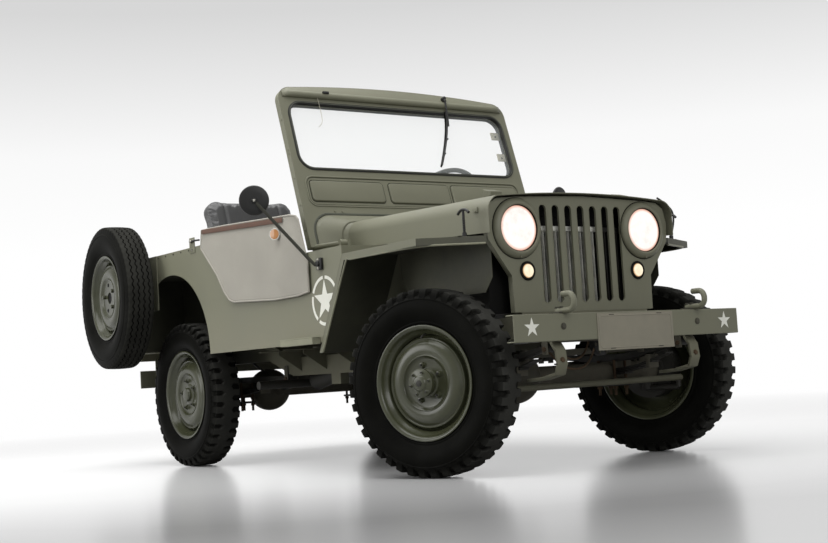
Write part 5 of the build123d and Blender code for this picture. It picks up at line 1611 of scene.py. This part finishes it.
class ARMYCAR_OT_markings(PieceOperator, bpy.types.Operator):
    """White stencilled stars in rings beside the cowl"""

    bl_idname = "army_car.markings"
    bl_label = "Markings"

    def make(self, context):
        radius = context.scene.army_car_sizes.ring_radius
        for side, word in SIDES:
            shape = bmesh.new()
            join(shape, star_shape(radius * 0.84))
            for k in range(5):
                self.arc(shape, radius, pi / 2 + 2 * pi * k / 5)
            place = basis((0.582, side * TUB_Y, 0.721), (0, side, 0))
            bmesh.ops.transform(shape, matrix=place, verts=shape.verts)
            slope = Vector((0.393, 0, -0.22)).normalized()
            bmesh.ops.bisect_plane(
                shape, geom=shape.verts[:] + shape.edges[:] + shape.faces[:], plane_co=(leg_x(0.721) - 0.002, 0, 0.721),
                plane_no=slope, clear_outer=True,
            )
            piece(f"cowl_star_{word}", shape, "chassis", ["marking_paint"])

    def arc(self, shape, radius, towards):
        """One stencilled length of the ring, between two points of the star."""
        part = bmesh.new()
        reach = radians(72 - 9)
        start = towards + radians(4.5)
        low = radius * 0.87
        corners = ((0, low), (STAR_THICK, low), (STAR_THICK, radius), (0, radius))
        rim = [part.verts.new((x, r, 0)) for x, r in corners]
        face = part.faces.new(rim)
        bmesh.ops.rotate(part, verts=part.verts, cent=(0, 0, 0), matrix=Matrix.Rotation(start, 3, "X"))
        bmesh.ops.spin(
            part, geom=[face] + rim + part.edges[:], axis=(1, 0, 0), cent=(0, 0, 0), angle=reach, steps=24
        )
        bmesh.ops.recalc_face_normals(part, faces=part.faces)
        join(shape, part)


class ARMYCAR_OT_stage(PieceOperator, bpy.types.Operator):
    """Pale floor, soft lamps, white background and the camera"""

    bl_idname = "army_car.stage"
    bl_label = "Stage"

    def make(self, context):
        chosen = context.scene.army_car_stage
        context.scene.view_settings.view_transform = "Standard"
        self.floor()
        self.sky(chosen.sky)
        self.lamp("roof_light", (-0.2, -1.2, 4.6), (0.0, 0, 0.6), 5.0, 280)
        self.lamp("front_light", (6.5, -1.5, 3.0), (1.0, 0, 0.8), 3.0, 125)
        self.lamp("side_light", (-1.6, -6.0, 2.2), (-0.2, -0.7, 0.8), 3.0, 130)
        self.camera(chosen.lens)

    def floor(self):
        """Pale floor that whitens with distance, with painted shade that darkens it towards the camera."""
        shape = bmesh.new()
        bmesh.ops.create_grid(shape, x_segments=1, y_segments=1, size=60)
        mesh = bpy.data.meshes.new("floor")
        shape.to_mesh(mesh)
        shape.free()
        floor = bpy.data.objects.new("floor", mesh)
        bpy.context.scene.collection.objects.link(floor)
        tree, shader, place = nodes_of("pale_floor")
        # Painted shade: the floor's colour darkens towards the camera, along the way it looks
        near = put(
            tree, "ShaderNodeVectorMath", {"operation": "DOT_PRODUCT"}, i0=place, i1=(0.817, -0.576, 0)
        ).outputs["Value"]
        along = rescaled(tree, near, (-1.5, 4.2))
        painted_falloff = ramp(
            tree, along,
            [
                (0.0, (0.95, 0.95, 0.95)), (0.5, (0.62, 0.62, 0.62)), (0.74, (0.30, 0.30, 0.30)),
                (1.0, (0.24, 0.24, 0.24))
            ]
        )
        bounced = put(tree, "ShaderNodeLightPath").outputs["Is Diffuse Ray"]
        dulled = blended(tree, bounced, painted_falloff, (0.25, 0.25, 0.25))
        tree.links.new(dulled, shader.inputs["Base Color"])
        shader.inputs["Roughness"].default_value = 0.2
        reach = put(tree, "ShaderNodeVectorMath", {"operation": "LENGTH"}, i0=place).outputs["Value"]
        share = reckoned(tree, "MULTIPLY", seen_directly(tree), rescaled(tree, reach, (2.6, 7.5)))
        white = put(tree, "ShaderNodeEmission", Color=(1, 1, 1, 1), Strength=1.0).outputs[0]
        mixed = put(tree, "ShaderNodeMixShader", i0=share, i1=shader.outputs[0], i2=white).outputs[0]
        tree.links.new(mixed, tree.nodes["Material Output"].inputs["Surface"])
        mesh.materials.append(FINISHES["pale_floor"])

    def sky(self, strength):
        """Even sky light, seen as a white background that greys a little overhead."""
        world = bpy.data.worlds.new("sky")
        bpy.context.scene.world = world
        world.use_nodes = True
        tree = world.node_tree
        light = tree.nodes["Background"]
        light.inputs["Color"].default_value = (1, 1, 1, 1)
        light.inputs["Strength"].default_value = strength
        way = put(tree, "ShaderNodeTexCoord").outputs["Generated"]
        height = put(tree, "ShaderNodeSeparateXYZ", Vector=way).outputs["Z"]
        tone = ramp(tree, height, [(0.10, (1, 1, 1)), (0.17, (0.95, 0.95, 0.95)), (0.27, (0.68, 0.68, 0.68))])
        seen = put(tree, "ShaderNodeBackground", Color=tone, Strength=1.0).outputs[0]
        mixed = put(tree, "ShaderNodeMixShader", i0=seen_directly(tree), i1=light.outputs[0], i2=seen).outputs[0]
        tree.links.new(mixed, tree.nodes["World Output"].inputs["Surface"])

    def lamp(self, name, at, towards, size, power):
        """Soft square lamp that looks at a point."""
        data = bpy.data.lights.new(name, "AREA")
        data.shape, data.size, data.energy = "SQUARE", size, power
        lamp = bpy.data.objects.new(name, data)
        bpy.context.scene.collection.objects.link(lamp)
        way = Vector(towards) - Vector(at)
        lamp.matrix_world = Matrix.Translation(at) @ way.to_track_quat("-Z", "Y").to_matrix().to_4x4()

    def camera(self, lens):
        """Low camera ahead and to the right of the car."""
        data = bpy.data.cameras.new("camera")
        data.sensor_width, data.lens, data.clip_end = 36, lens, 200
        camera = bpy.data.objects.new("camera", data)
        bpy.context.scene.collection.objects.link(camera)
        level = cos(CAMERA_RISE)
        ahead = Vector((level * cos(CAMERA_TURN), level * sin(CAMERA_TURN), sin(CAMERA_RISE)))
        right = ahead.cross(UP).normalized()
        top = right.cross(ahead)
        across = cos(CAMERA_ROLL) * right + sin(CAMERA_ROLL) * top
        over = cos(CAMERA_ROLL) * top - sin(CAMERA_ROLL) * right
        place = Matrix((across, over, -ahead)).transposed().to_4x4()
        camera.matrix_world = Matrix.Translation(CAMERA_AT) @ place
        bpy.context.scene.camera = camera


PIECE_OPERATORS = (
    ARMYCAR_OT_body_panels,
    ARMYCAR_OT_hood,
    ARMYCAR_OT_hood_latches,
    ARMYCAR_OT_cowl_lip,
    ARMYCAR_OT_windshield,
    ARMYCAR_OT_grille,
    ARMYCAR_OT_lamps,
    ARMYCAR_OT_bumpers,
    ARMYCAR_OT_road_tyres,
    ARMYCAR_OT_wheels,
    ARMYCAR_OT_spare_wheel,
    ARMYCAR_OT_doors,
    ARMYCAR_OT_seats,
    ARMYCAR_OT_cab,
    ARMYCAR_OT_mirrors,
    ARMYCAR_OT_underside,
    ARMYCAR_OT_markings,
    ARMYCAR_OT_stage,
)


class ARMYCAR_PT_panel(bpy.types.Panel):
    """Lists the pieces of the car and their settings."""

    bl_label = "Army car"
    bl_idname = "ARMYCAR_PT_panel"
    bl_space_type = "VIEW_3D"
    bl_region_type = "UI"
    bl_category = "Army car"

    def draw(self, context):
        layout = self.layout
        for group in ("army_car_finishes", "army_car_sizes", "army_car_stage"):
            settings = getattr(context.scene, group)
            box = layout.box()
            for key in settings.bl_rna.properties.keys():
                if key not in ("rna_type", "name"):
                    box.prop(settings, key)
        for operator in PIECE_OPERATORS:
            layout.operator(operator.bl_idname)


SETTINGS = (
    ("army_car_finishes", ARMYCAR_PG_finishes),
    ("army_car_sizes", ARMYCAR_PG_sizes),
    ("army_car_stage", ARMYCAR_PG_stage),
)


def register():
    for key, group in SETTINGS:
        bpy.utils.register_class(group)
        setattr(bpy.types.Scene, key, bpy.props.PointerProperty(type=group))
    for operator in PIECE_OPERATORS:
        bpy.utils.register_class(operator)
    bpy.utils.register_class(ARMYCAR_PT_panel)


def unregister():
    bpy.utils.unregister_class(ARMYCAR_PT_panel)
    for operator in reversed(PIECE_OPERATORS):
        bpy.utils.unregister_class(operator)
    for key, group in reversed(SETTINGS):
        delattr(bpy.types.Scene, key)
        bpy.utils.unregister_class(group)


def main():
    """Make the whole car."""
    register()
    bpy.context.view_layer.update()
    for operator in PIECE_OPERATORS:
        group, name = operator.bl_idname.split(".")
        getattr(getattr(bpy.ops, group), name)()


if __name__ == "__main__":
    main()
